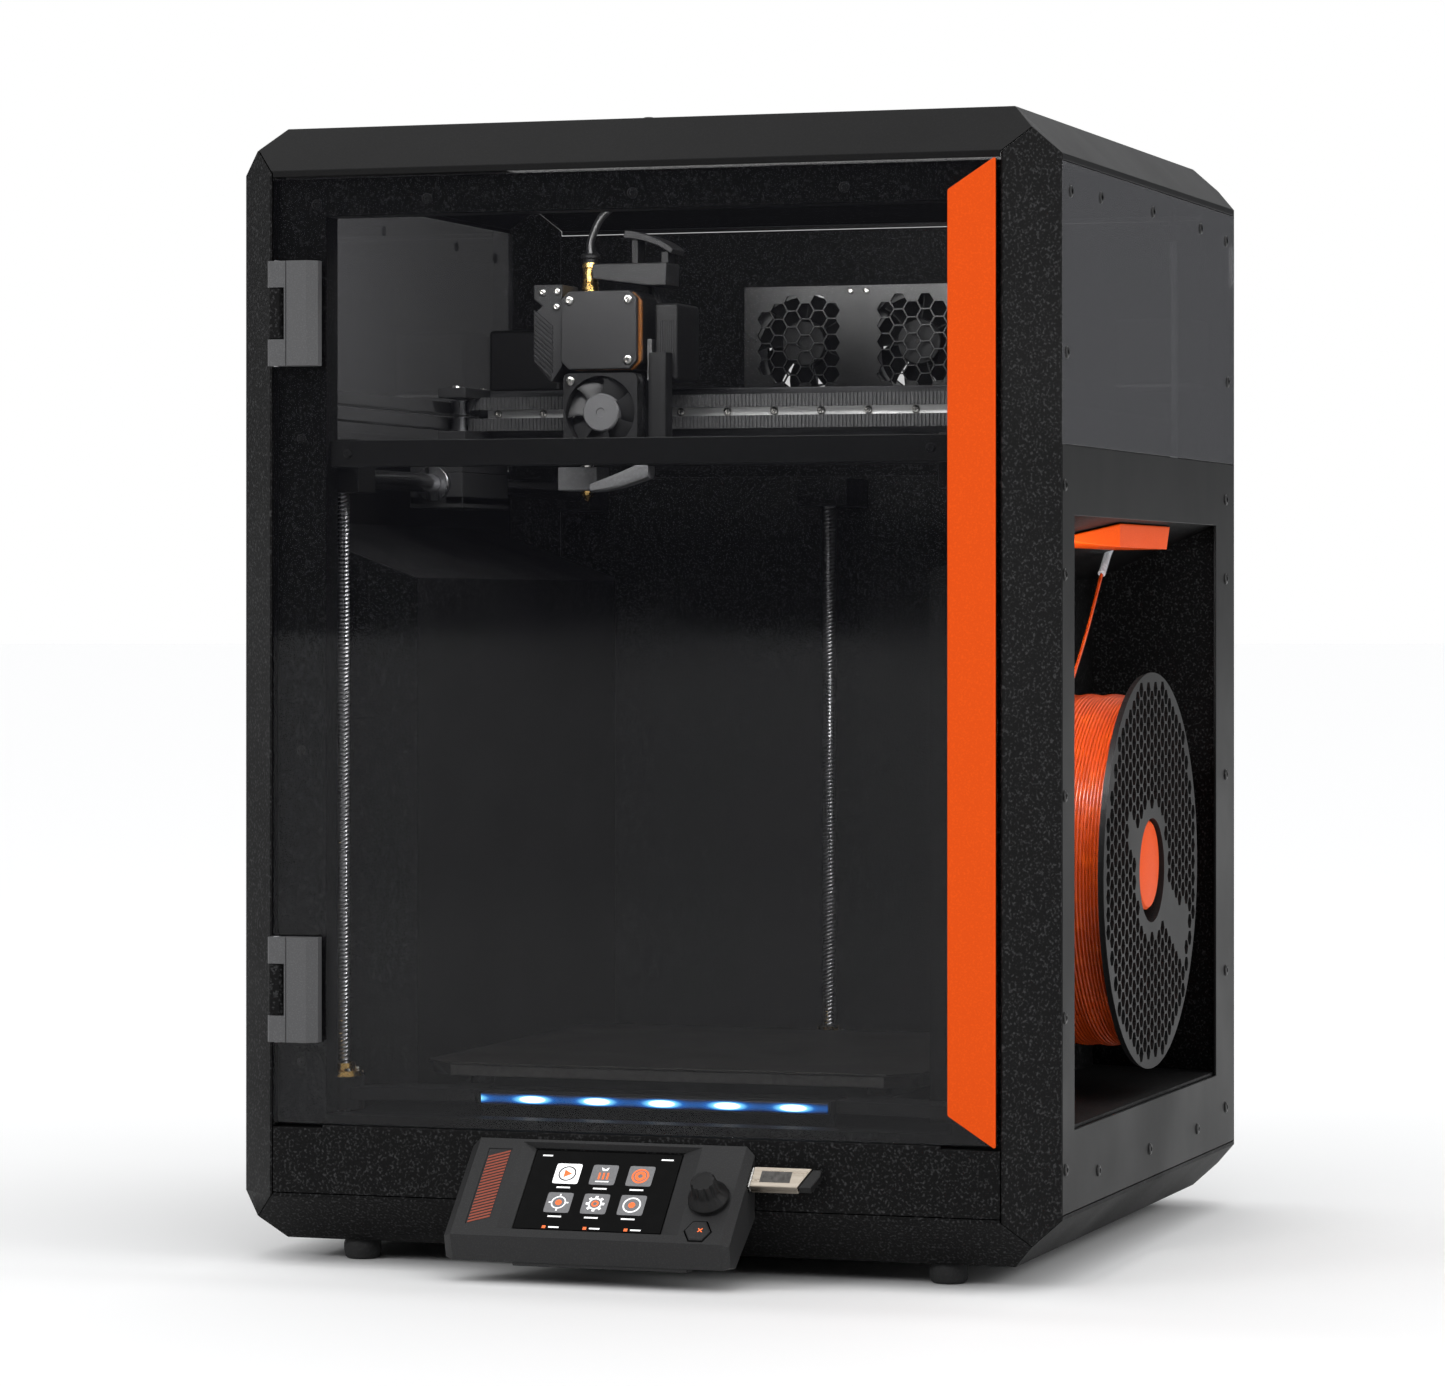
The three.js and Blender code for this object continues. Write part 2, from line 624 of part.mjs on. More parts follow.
function extruder() {
  const c = 4;
  const cover = [
    [117.5 + c, 431], [158.5 - c, 431], [158.5, 431 + c], [158.5, 471 - c],
    [158.5 - c, 471], [117.5 + c, 471], [117.5, 471 - c], [117.5, 431 + c],
  ];
  const body = join(
    prismY(outline(cover), 153, 187.6),
    block(121, 153, 163, 187.6, 388, 432),
    rodZ(NOZZLE[0] + 1.7, NOZZLE[1], 4, 470, 492.5, 12),
    block(158, 163, 163, 182, 425, 447),
  );
  add('extruder_body', body, PLASTIC);
}

function idlerDoor() {
  const side = [
    [101, 474.8], [116.8, 474.8], [116.8, 433], [110.7, 424.8],
    [101, 435.4], [101, 460], [106, 464], [101, 467.4],
  ];
  add('idler_door', prismY(outline(side), 156, 182), PLASTIC);
}

const HOTEND_FAN = { x: 139, z: 409, y0: 152, y1: 162.4, half: 20, bore: 18.6 };

function hotendFan() {
  const { x, z, y0, y1, half, bore } = HOTEND_FAN;
  const body = block(x - half, x + half, y0, y1, z - half, z + half);
  const arms = block(x - half + 1, x + half - 1, y1 - 1.6, y1, z - 1.5, z + 1.5);
  const boss = rodY(x, z, 9.5, y1 - 1.6, y1, 20);
  add('hotend_fan_frame', join(cut(body, rodY(x, z, bore, y0 - 1, y1 + 1, 28)), arms, boss), PLASTIC);
  add('hotend_fan_rotor', rotor(x, z, y0 + 0.6, y1 - 2.2, 9.8, 17.8, 7), PLASTIC);
}

// The blower beside the extruder and the duct that leads its air down to the nozzle. At the right end of
// the travel all of it passes in front of the carriage's bearing and over or beside the right rod.
function printFan() {
  const front = 151;
  const back = 163.5;
  const overRod = ROD_Z + ROD_RADIUS + 2;
  const blower = block(164, 177, 163, 198, 425, 465);
  const drop = block(164, 177, front, back, overRod, 440);
  const duct = hull([
    [133, front + 1, 368.5], [133, back, 368.5], [134, front + 1, 373], [134, back, 373],
    [160, front, 371], [160, back, 371], [165, front, 376], [165, back, 376],
    [165, front, 387], [165, back, 387], [160.5, front, 387], [160.5, back, 387],
  ]);
  add('print_fan_duct', join(blower, drop, duct), PLASTIC);
}

function hotend() {
  const [x, y, tip] = NOZZLE;
  const profile = [[0, tip], [0.7, tip], [3.5, tip + 4], [3.5, 370], [0, 370]];
  const nozzle = new THREE.LatheGeometry(profile.map(([r, z]) => new THREE.Vector2(r, z)), 12);
  nozzle.rotateX(Math.PI / 2);
  nozzle.translate(x, y, 0);
  const heater = block(109, 131, 170, 190, 369.5, 382);
  add('hotend', join(heater, nozzle, rodZ(x, y, 3.5, 381, 387.5, 12)), BRASS);
}

// Filament --------------------------------------------------------------------------------------

function filament() {
  const { x0, x1, y, z, radius, hole, wound } = SPOOL;
  const flange = 4;
  const barrel = hole + 4;
  const reel = [
    [hole, x0], [radius, x0], [radius, x0 + flange], [barrel, x0 + flange],
    [barrel, x1 - flange], [radius, x1 - flange], [radius, x1], [hole, x1], [hole, x0],
  ];
  add('spool', turnedX(reel, y, z, 40), PLASTIC);
  const winding = [
    [barrel + GAP, x0 + flange + GAP], [wound, x0 + flange + GAP], [wound, x1 - flange - GAP],
    [barrel + GAP, x1 - flange - GAP], [barrel + GAP, x0 + flange + GAP],
  ];
  add('filament_winding', turnedX(winding, y, z, 40), ORANGE);

  const wall = WIDTH - RECESS.depth;
  const holderZ = z + (hole - HOLDER_RADIUS) - 0.3;
  const cup = [
    [0, x1 - 1.5], [HOLDER_RADIUS, x1 - 1.5], [HOLDER_RADIUS, wall + GAP], [HOLDER_RADIUS - 4, wall + GAP],
    [HOLDER_RADIUS - 4, x1 - 6], [0, x1 - 6],
  ];
  add('spool_holder', turnedX(cup.reverse(), y, holderZ, 32), ORANGE);

  add('filament_tube', tube(TUBE_ROUTE, 2, 24, 8), CLEAR);
  const mouth = [376, 252.5, 326.5];
  const tangent = [376, 161.5, 243.9];
  add('filament_strand', tube([tangent, [376, 207, 285.2], mouth], 0.875, 4, 8), ORANGE);
  const guide = [
    [410, 155, 339.4], [410, 155, 351.2], [410, 262, 351.2], [410, 255, 339.4],
    [381, 150, 339.2], [381, 255, 339.2], [388, 104, 342], [390, 104, 343],
  ];
  add('filament_guide', hull(guide), ORANGE);
}

// The free tube from its clip in the roof to the toolhead, clear of the top window.
function feedTube() {
  const route = [
    [402, 299, 506.6], [401, 294, 520], [380, 275, 532], [320, 240, 535], [220, 200, 535],
    [150, 184, 527], [NOZZLE[0] + 2, 180.5, 510], [NOZZLE[0] + 1.7, 180, 493],
  ];
  add('feed_tube', tube(route, 2, 32, 8), look(0x1a1a1a, 0.4, 0.0));
}

// Control panel ---------------------------------------------------------------------------------

// Local frame of the tilted face: x as in the frame, y up the slope, z out of the face.
const panelFrame = new THREE.Group();
panelFrame.position.set(0, PANEL.topY, PANEL.topZ);
panelFrame.rotation.x = Math.atan2(PANEL.topZ - PANEL.lowZ, PANEL.topY - PANEL.lowY);
frame.add(panelFrame);

const KNOB = [256.5, -32.5];
const RESET = [255.3, -51.6];
const SCREEN = { x0: 162, x1: 236, low: -51.5, high: -3.5, deep: -3.2 };
const POCKET = { x0: 155, x1: 245.5, low: -54.3, high: -2 };
const KEY = { x0: 258, x1: 272.6, x2: 306, low: -21, high: -9, back: -8, front: -3.6 };

// Moves a tool made in the local frame of the tilted face into the frame's own axes.
function tilted(geometry) {
  panelFrame.updateMatrix();
  return geometry.applyMatrix4(panelFrame.matrix);
}

function controlPanel() {
  const { x0, x1, topY, topZ, lowY, lowZ } = PANEL;
  const side = 4;
  const middle = [[topY, topZ], [lowY, lowZ], [lowY + 4, 0.6], [-30, 0], [topY, 21]];
  const edges = [[topY, topZ - 4.2], [lowY + 2.6, lowZ - 1.4], [lowY + 5.4, 1.8], [-30, 0.6], [topY, 21]];
  const points = [];
  for (const [y, z] of middle) points.push([x0 + side, y, z], [x1 - side, y, z]);
  for (const [y, z] of edges) points.push([x0, y, z], [x1, y, z]);
  const shaftHole = tilted(rodZ(KNOB[0], KNOB[1], 3.6, -14, 5));
  const resetHole = tilted(rodZ(RESET[0], RESET[1], 7, -6, 5, 6));
  const { low, high, back: under, front: over } = KEY;
  const slot = tilted(block(KEY.x0 - 0.6, x1 + 5, low - 0.5, high + 0.5, under - 0.5, over + 0.5));
  const pane = [SCREEN.x0 - GAP, SCREEN.x1 + GAP, SCREEN.low - GAP, SCREEN.high + GAP];
  const recess = tilted(block(...pane, SCREEN.deep - 1.2, 0.1));
  const taper = [];
  for (const [rim, w] of [[SCREEN, SCREEN.deep - 0.2], [POCKET, 0.05]]) {
    for (const x of [rim.x0, rim.x1]) taper.push([x, rim.low, w], [x, rim.high, w]);
  }
  add('lcd_housing', cut(hull(points), shaftHole, resetHole, slot, recess, tilted(hull(taper))), PLASTIC);

  const place = (name, geometry, material) => {
    const mesh = add(name, geometry, material);
    panelFrame.add(mesh);
  };
  const glass = block(SCREEN.x0, SCREEN.x1, SCREEN.low, SCREEN.high, SCREEN.deep - 0.8, SCREEN.deep);
  place('lcd_screen', glass, look(0x050506, 0.15, 0.0));
  place('knob_shaft', rodZ(KNOB[0], KNOB[1], 3, -12, 9, 16), STEEL);
  const cap = cut(rodZ(KNOB[0], KNOB[1], 9.8, 1.6, 14.5, 28), rodZ(KNOB[0], KNOB[1], 3.4, 0, 9.6, 16));
  place('knob', cap, PLASTIC);
  place('reset_button', rodZ(RESET[0], RESET[1], 6.4, -4.5, 1.2, 6), PLASTIC);
  const plug = block(KEY.x0, KEY.x1 + 1, KEY.low + 0.4, KEY.high - 0.4, KEY.back + 0.4, KEY.front - 0.4);
  const grip = block(KEY.x1, KEY.x2, KEY.low - 1, KEY.high + 1, KEY.back - 0.5, KEY.front + 0.5);
  place('usb_stick', join(plug, grip), ALUMINIUM);
}

// Assembly --------------------------------------------------------------------------------------

baseTray();
topFrame();
topWindow();
frontColumns();
frontLowerPanel();
frontInnerFrame();
frontCrossbar();
leftSide();
rightSide();
spoolBay();
electronicsCover();
chamberLiner();
rearPanel();
powerSupply();
exhaustHousing();
exhaustRotors();
feet();
door();
bed();
leadScrews();
ledBar();
yRods();
gantry();
xCarriage();
extruder();
idlerDoor();
hotendFan();
printFan();
hotend();
filament();
feedTube();
controlPanel();

export default group;
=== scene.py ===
# Enclosed desktop filament printer: materials, fine pieces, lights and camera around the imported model.
# Shapes are written in millimetres in the enclosure's own axes: x from the left face, y from the front
# face and z from the underside of the base tray. Shape.data() turns them into the frame's metres.
from math import atan2, copysign, cos, hypot, pi, radians, sin
import bmesh
import bpy
from mathutils import Matrix, Vector


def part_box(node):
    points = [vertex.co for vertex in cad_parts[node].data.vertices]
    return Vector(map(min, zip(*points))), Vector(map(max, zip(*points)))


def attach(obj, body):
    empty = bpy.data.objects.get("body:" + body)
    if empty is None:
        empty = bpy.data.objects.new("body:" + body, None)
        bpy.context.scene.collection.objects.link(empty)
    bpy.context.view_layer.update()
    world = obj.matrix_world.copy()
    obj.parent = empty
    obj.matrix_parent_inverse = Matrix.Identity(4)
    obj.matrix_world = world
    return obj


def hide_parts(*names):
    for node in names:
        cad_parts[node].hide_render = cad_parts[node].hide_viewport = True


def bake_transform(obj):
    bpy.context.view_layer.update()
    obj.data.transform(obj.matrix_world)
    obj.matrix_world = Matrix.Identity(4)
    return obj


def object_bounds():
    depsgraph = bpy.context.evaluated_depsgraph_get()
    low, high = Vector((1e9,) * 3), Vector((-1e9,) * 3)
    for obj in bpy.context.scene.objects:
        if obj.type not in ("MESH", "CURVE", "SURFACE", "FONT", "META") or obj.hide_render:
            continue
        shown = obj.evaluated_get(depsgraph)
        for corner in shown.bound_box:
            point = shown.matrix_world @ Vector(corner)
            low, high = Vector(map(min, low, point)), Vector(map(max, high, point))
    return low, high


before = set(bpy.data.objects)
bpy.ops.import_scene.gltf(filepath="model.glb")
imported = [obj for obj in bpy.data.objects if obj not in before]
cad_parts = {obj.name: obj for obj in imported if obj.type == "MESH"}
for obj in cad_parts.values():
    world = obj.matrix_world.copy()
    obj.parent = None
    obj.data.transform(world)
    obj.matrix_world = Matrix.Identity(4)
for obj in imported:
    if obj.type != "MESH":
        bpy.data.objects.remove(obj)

cad_low, cad_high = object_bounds()

# The enclosure's axes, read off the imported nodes

MM = 0.001
DEPTH = 410
left_face, right_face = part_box("left_side_panel")[0].x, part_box("right_side_panel")[1].x
tray_low, tray_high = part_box("base_tray")
ORIGIN = Vector((left_face, tray_high.y - DEPTH * MM, tray_low.z))
WIDTH = (right_face - left_face) / MM
HEIGHT = (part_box("top_frame")[1].z - tray_low.z) / MM
RIGHT, LEFT, FORWARD, REARWARD, UP = (1, 0, 0), (-1, 0, 0), (0, -1, 0), (0, 1, 0), (0, 0, 1)

SCREWS_XY = {"front_left": (46, 35), "front_right": (369, 35), "rear": (207.5, 325)}
ROD_X, ROD_Z = 42, 374
EXHAUST_XS, EXHAUST_Z = (174.5, 240.5), 455
FITTING_X, FITTING_Y = 123.7, 180
PANEL_TOP_Y, PANEL_TOP_Z = -0.6, 54.8
PANEL_LOW_Y, PANEL_LOW_Z = -42.2, 13.2
PANEL_TILT = atan2(PANEL_TOP_Z - PANEL_LOW_Z, PANEL_TOP_Y - PANEL_LOW_Y)


def mirror(x):
    return WIDTH - x


def extent(node):
    """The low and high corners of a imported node, in the enclosure's millimetres."""
    return [(corner - ORIGIN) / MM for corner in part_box(node)]


# Mesh making

def moved(x, y, z=0):
    return Matrix.Translation((x, y, z))


def facing(direction, place=(0, 0, 0)):
    """A rotation that turns +Z to the direction, then a move to the place."""
    return Matrix.Translation(place) @ Vector(direction).to_track_quat("Z", "Y").to_matrix().to_4x4()


def around(steps):
    """The evenly spaced angles of one turn."""
    return [2 * pi * i / steps for i in range(steps)]


TILTED = moved(0, PANEL_TOP_Y, PANEL_TOP_Z) @ Matrix.Rotation(PANEL_TILT, 4, "X")


class Shape:
    """Closed solids gathered into one mesh, in the enclosure's millimetres."""

    def __init__(self, turn=None):
        self.mesh = bmesh.new()
        self.turn = turn or Matrix.Identity(4)

    def solid(self, points, faces, turn=None):
        place = self.turn @ (turn or Matrix.Identity(4))
        verts = [self.mesh.verts.new(place @ Vector(p)) for p in points]
        for face in faces:
            self.mesh.faces.new([verts[i] for i in face])
        return self

    def box(self, x0, x1, y0, y1, z0, z1, turn=None):
        points = [(x, y, z) for z in (z0, z1) for y in (y0, y1) for x in (x0, x1)]
        faces = [(0, 2, 3, 1), (4, 5, 7, 6), (0, 1, 5, 4), (2, 6, 7, 3), (0, 4, 6, 2), (1, 3, 7, 5)]
        return self.solid(points, faces, turn)

    def prism(self, outline, low, high, turn=None):
        """An outline in x and y, from z low to high."""
        n = len(outline)
        points = [(x, y, low) for x, y in outline] + [(x, y, high) for x, y in outline]
        sides = [(i, (i + 1) % n, n + (i + 1) % n, n + i) for i in range(n)]
        return self.solid(points, [tuple(range(n))[::-1], tuple(range(n, 2 * n)), *sides], turn)

    def rings(self, rings, turn=None, closed=False):
        """Skin over rings of points, with flat ends, or closed round into a loop."""
        n, m = len(rings[0]), len(rings)
        points = [p for ring in rings for p in ring]
        faces = []
        for k in range(m if closed else m - 1):
            a, b = k * n, ((k + 1) % m) * n
            faces += [(a + i, a + (i + 1) % n, b + (i + 1) % n, b + i) for i in range(n)]
        if not closed:
            faces += [tuple(range(n))[::-1], tuple(range((m - 1) * n, m * n))]
        return self.solid(points, faces, turn)

    def lathe(self, profile, turn=None, sides=32, hollow=False):
        """A profile of (radius, z) turned about z. A hollow one closes on itself."""
        rings = []
        for r, z in profile:
            rings.append([(r * cos(a), r * sin(a), z) for a in around(sides)])
        return self.rings(rings, turn, closed=hollow)

    def rod(self, start, end, radius, sides=24, chamfer=0.4):
        start, end = Vector(start), Vector(end)
        length = (end - start).length
        ends = radius - chamfer
        profile = [(ends, 0), (radius, chamfer), (radius, length - chamfer), (ends, length)]
        return self.lathe(profile, facing(end - start, start), sides)

    def tube(self, points, radius, sides=12):
        points = [Vector(p) for p in points]
        rings = []
        side = None
        for i, p in enumerate(points):
            ahead = (points[min(i + 1, len(points) - 1)] - points[max(i - 1, 0)]).normalized()
            side = (side - ahead * side.dot(ahead)) if side else ahead.orthogonal()
            side.normalize()
            other = ahead.cross(side)
            rings.append([p + radius * (side * cos(a) + other * sin(a)) for a in around(sides)])
        return self.rings(rings)

    def plate(self, outline, bore, low, high, turn=None):
        """A plate with one round hole about z: the outline is a function of angle, as is the bore."""
        outer = [outline(a) for a in around(72)]
        inner = [bore(a) for a in around(72)]
        rings = [[(x, y, low) for x, y in outer], [(x, y, high) for x, y in outer],
                 [(x, y, high) for x, y in inner], [(x, y, low) for x, y in inner]]
        return self.rings(rings, turn, closed=True)

    def data(self, name):
        mesh = bpy.data.meshes.new(name)
        bmesh.ops.recalc_face_normals(self.mesh, faces=self.mesh.faces)
        for face in self.mesh.faces:
            face.smooth = True
        for edge in self.mesh.edges:
            edge.smooth = len(edge.link_faces) == 2 and edge.calc_face_angle(0) < radians(32)
        self.mesh.transform(Matrix.Translation(ORIGIN) @ Matrix.Scale(MM, 4))
        self.mesh.to_mesh(mesh)
        self.mesh.free()
        return mesh


def bevelled(obj, width, weld=False):
    if weld:
        obj.modifiers.new("weld", "WELD").merge_threshold = 0.00001
    bevel = obj.modifiers.new("bevel", "BEVEL")
    bevel.width = width * MM
    bevel.segments = 2
    bevel.limit_method = "ANGLE"
    bevel.angle_limit = radians(35)
    bevel.harden_normals = True


def added(name, data):
    obj = bpy.data.objects.new(name, data)
    bpy.context.scene.collection.objects.link(obj)
    return obj


def piece(name, shape, material, body, bevel=0.0, replaces=(), slot=None):
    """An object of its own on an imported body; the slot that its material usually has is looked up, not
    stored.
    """
    mesh = shape if isinstance(shape, bpy.types.Mesh) else shape.data(name)
    obj = added(name, mesh)
    mesh.materials.append(material)
    if bevel:
        bevelled(obj, bevel)
    if body:
        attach(obj, body)
    slot or SLOT_OF[material.name]
    if replaces:
        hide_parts(*replaces)
    return obj


def carved(name, shape, cutter):
    """The mesh of one shape with another cut out of it."""
    body = added(f"{name}_body", shape.data(f"{name}_body"))
    tool = added(f"{name}_tool", cutter.data(f"{name}_tool"))
    boolean = body.modifiers.new("cut", "BOOLEAN")
    boolean.operation = "DIFFERENCE"
    boolean.solver = "MANIFOLD"
    boolean.object = tool
    bpy.context.view_layer.update()
    made = bpy.data.meshes.new_from_object(body.evaluated_get(bpy.context.evaluated_depsgraph_get()))
    for obj in (body, tool):
        bpy.data.objects.remove(obj)
    for polygon in made.polygons:
        polygon.use_smooth = False
    made.materials.clear()
    made.name = name
    return made


def rounded_square(half, radius):
    """A function of angle that walks a square with round corners."""
    def at(angle):
        x, y = cos(angle), sin(angle)
        reach = half / max(abs(x), abs(y))
        px, py = x * reach, y * reach
        cx, cy = copysign(half - radius, px), copysign(half - radius, py)
        if abs(px) > half - radius and abs(py) > half - radius:
            away = Vector((px - cx, py - cy)).normalized() * radius
            return cx + away.x, cy + away.y
        return px, py
    return at


def circle(radius):
    return lambda angle: (radius * cos(angle), radius * sin(angle))


# Materials

def base_material(name, color, rough, metal=0.0, **sockets):
    material = bpy.data.materials.new(name)
    material.use_nodes = True
    shader = material.node_tree.nodes["Principled BSDF"]
    shader.inputs["Base Color"].default_value = (*color, 1)
    shader.inputs["Roughness"].default_value = rough
    shader.inputs["Metallic"].default_value = metal
    for socket, value in sockets.items():
        shader.inputs[socket.replace("_", " ")].default_value = value
    return material, shader


def noise(material, scale, detail=3.0, stretch=None):
    """A noise in the object's own metres."""
    nodes, links = material.node_tree.nodes, material.node_tree.links
    coordinates = nodes.new("ShaderNodeTexCoord")
    texture = nodes.new("ShaderNodeTexNoise")
    texture.inputs["Scale"].default_value = scale
    texture.inputs["Detail"].default_value = detail
    source = coordinates.outputs["Object"]
    if stretch:
        mapping = nodes.new("ShaderNodeMapping")
        mapping.inputs["Scale"].default_value = stretch
        links.new(source, mapping.inputs["Vector"])
        source = mapping.outputs["Vector"]
    links.new(source, texture.inputs["Vector"])
    return texture.outputs["Fac"]


def ramp(material, source, stops):
    node = material.node_tree.nodes.new("ShaderNodeValToRGB")
    elements = node.color_ramp.elements
    while len(elements) < len(stops):
        elements.new(0.5)
    for element, (position, color) in zip(elements, stops):
        element.position = position
        element.color = (*color, 1)
    material.node_tree.links.new(source, node.inputs["Fac"])
    return node.outputs["Color"]


def bump(material, shader, source, strength, distance=0.0002):
    node = material.node_tree.nodes.new("ShaderNodeBump")
    node.inputs["Strength"].default_value = strength
    node.inputs["Distance"].default_value = distance
    material.node_tree.links.new(source, node.inputs["Height"])
    material.node_tree.links.new(node.outputs["Normal"], shader.inputs["Normal"])


def grey(value):
    return (value, value, value * 1.03)


def speckled(name, dark, light, grain, rough=(0.42, 0.62), metal=0.0, strength=0.5, share=(0.5, 0.68),
             gleam=0.5):
    """A coat whose colour, roughness and relief vary with a fine grain."""
    material, shader = base_material(name, dark, rough[0], metal, Specular_IOR_Level=gleam)
    links = material.node_tree.links
    fine = noise(material, grain, 2.0)
    color = ramp(material, fine, [(share[0], dark), (share[1], light)])
    links.new(color, shader.inputs["Base Color"])
    broad = noise(material, 9.0, 4.0)
    gloss = ramp(material, broad, [(0.3, (rough[0],) * 3), (0.7, (rough[1],) * 3)])
    links.new(gloss, shader.inputs["Roughness"])
    bump(material, shader, fine, strength)
    return material


def brushed(name, dark, light, rough, stretch, metal=1.0, strength=0.15):
    """Metal with a directional grain."""
    material, shader = base_material(name, light, rough, metal)
    links = material.node_tree.links
    grain = noise(material, 400.0, 3.0, stretch)
    links.new(ramp(material, grain, [(0.3, dark), (0.7, light)]), shader.inputs["Base Color"])
    low, high = rough * 0.75, rough * 1.3
    links.new(ramp(material, grain, [(0.3, (low,) * 3), (0.7, (high,) * 3)]), shader.inputs["Roughness"])
    bump(material, shader, grain, strength, 0.00005)
    return material


def smoked(name, color, alpha):
    """A tinted clear pane, with faint smears in its gloss."""
    material, shader = base_material(name, color, 0.04, Alpha=alpha, IOR=1.5)
    smear = noise(material, 14.0, 5.0)
    gloss = ramp(material, smear, [(0.35, (0.02,) * 3), (0.75, (0.07,) * 3)])
    material.node_tree.links.new(gloss, shader.inputs["Roughness"])
    return material


def lit(name, color, strength):
    """A mark in its own colour that also glows at the given strength: lit on the screen, a painted glow on
    the printed reset cross, plain print at strength 0.
    """
    material, shader = base_material(name, color, 0.5)
    tint = noise(material, 900.0, 1.0)
    dim = tuple(c * 0.85 for c in color)
    source = ramp(material, tint, [(0.3, dim), (0.7, color)])
    material.node_tree.links.new(source, shader.inputs["Base Color"])
    material.node_tree.links.new(source, shader.inputs["Emission Color"])
    shader.inputs["Emission Strength"].default_value = strength
    return material


POWDER = speckled("powder_coat_black", grey(0.0035), grey(0.04), 760.0, (0.45, 0.62), strength=0.3,
                  share=(0.53, 0.74), gleam=0.1)
SMOOTH = speckled("satin_coat_grey", grey(0.005), grey(0.009), 1500.0, (0.36, 0.48), strength=0.1, gleam=0.12)
GLASS = smoked("smoked_door_pane", (0.006, 0.006, 0.008), 0.24)
WINDOW = smoked("smoked_side_pane", (0.07, 0.07, 0.074), 0.82)
TOP_PANE = smoked("smoked_roof_pane", (0.014, 0.014, 0.016), 0.62)
ORANGE = speckled("orange_moulding", (0.76, 0.075, 0.002), (0.82, 0.09, 0.003), 1300.0, (0.42, 0.56),
                  strength=0.1, gleam=0.12)
BLACK = speckled("black_moulding", grey(0.007), grey(0.012), 1800.0, (0.4, 0.56), strength=0.22, gleam=0.25)
DARK = speckled("charcoal_moulding", grey(0.02), grey(0.03), 1500.0, (0.42, 0.58), strength=0.25, gleam=0.25)
LEAF = speckled("hinge_moulding", grey(0.085), grey(0.11), 1500.0, (0.42, 0.58), strength=0.2, gleam=0.3)
FAN = speckled("fan_moulding", grey(0.012), grey(0.018), 1400.0, (0.34, 0.46), strength=0.12, gleam=0.3)
GUARD = speckled("gloss_guard", grey(0.006), grey(0.01), 1400.0, (0.2, 0.28), strength=0.05, gleam=0.45)
HUB = speckled("fan_hub", grey(0.11), grey(0.13), 1400.0, (0.36, 0.46), strength=0.1)
RUBBER = speckled("foot_rubber", grey(0.012), grey(0.02), 900.0, (0.7, 0.85), strength=0.5)
SOCK = speckled("silicone_sock", grey(0.11), grey(0.14), 700.0, (0.55, 0.7), strength=0.3)
STEEL = brushed("ground_steel", (0.24, 0.24, 0.25), (0.4, 0.4, 0.41), 0.3, (1, 1, 0.05))
ROD = brushed("ground_rod", (0.45, 0.45, 0.46), (0.7, 0.7, 0.71), 0.16, (1, 0.05, 1))
RAIL = brushed("rail_steel", (0.74, 0.74, 0.73), (0.95, 0.95, 0.94), 0.36, (0.05, 1, 1))
BOLT = brushed("bolt_zinc", (0.45, 0.44, 0.42), (0.72, 0.71, 0.68), 0.25, (1, 1, 1))
BLACK_BOLT = brushed("bolt_black", (0.008, 0.008, 0.008), (0.03, 0.03, 0.03), 0.36, (1, 1, 1), 0.6)
ALUMINIUM = brushed("anodised_aluminium", (0.018, 0.018, 0.019), (0.05, 0.05, 0.052), 0.4, (0.05, 1, 1), 0.8)
BED = brushed("bed_plate", (0.05, 0.048, 0.046), (0.11, 0.105, 0.1), 0.42, (1, 0.1, 1), 0.9)
SHEET = speckled("textured_sheet", (0.012, 0.011, 0.01), (0.075, 0.066, 0.055), 1100.0, (0.3, 0.48), 0.5, 0.6)
BRASS = brushed("turned_brass", (0.5, 0.3, 0.08), (0.78, 0.52, 0.2), 0.24, (1, 1, 1))
ZINC = brushed("folded_zinc", (0.2, 0.2, 0.2), (0.38, 0.38, 0.39), 0.42, (1, 1, 0.2))
AMBER = speckled("amber_edge", (0.16, 0.055, 0.008), (0.24, 0.09, 0.015), 900.0, (0.3, 0.4), strength=0.1)
BELT = speckled("belt_rubber", grey(0.035), grey(0.085), 1700.0, (0.55, 0.7), strength=0.4)
CHAMPAGNE = brushed("stick_sleeve", (0.3, 0.26, 0.21), (0.44, 0.39, 0.33), 0.3, (0.06, 1, 1))
FILAMENT = speckled("orange_filament", (0.5, 0.05, 0.003), (0.62, 0.075, 0.004), 120.0, (0.24, 0.34),
                    strength=0.05)
TUBE = speckled("clear_tube", (0.55, 0.57, 0.6), (0.72, 0.74, 0.77), 300.0, (0.15, 0.25), strength=0.05)
FEED = speckled("black_tube", grey(0.014), grey(0.02), 400.0, (0.25, 0.36), strength=0.08)
SCREEN = speckled("screen_glass", grey(0.0012), grey(0.002), 200.0, (0.1, 0.16), strength=0.0, gleam=0.06)
BOARD = speckled("board_green", (0.006, 0.03, 0.018), (0.012, 0.05, 0.03), 260.0, (0.35, 0.45), strength=0.1)
RED_WIRE = speckled("wire_red", (0.5, 0.03, 0.03), (0.6, 0.05, 0.04), 500.0, (0.35, 0.45), strength=0.1)
BLUE_WIRE = speckled("wire_blue", (0.03, 0.08, 0.4), (0.04, 0.12, 0.5), 500.0, (0.35, 0.45), strength=0.1)
MARK_WHITE = lit("mark_white", (0.85, 0.85, 0.85), 0.9)
MARK_GREY = lit("mark_grey", (0.13, 0.13, 0.135), 0.7)
# This orange glows as lit on the screen, and as a painted glow on the reset button's printed cross.
MARK_ORANGE = lit("mark_orange", (0.8, 0.14, 0.03), 0.8)
PRINT_ORANGE = lit("print_orange", (0.34, 0.06, 0.025), 0.0)

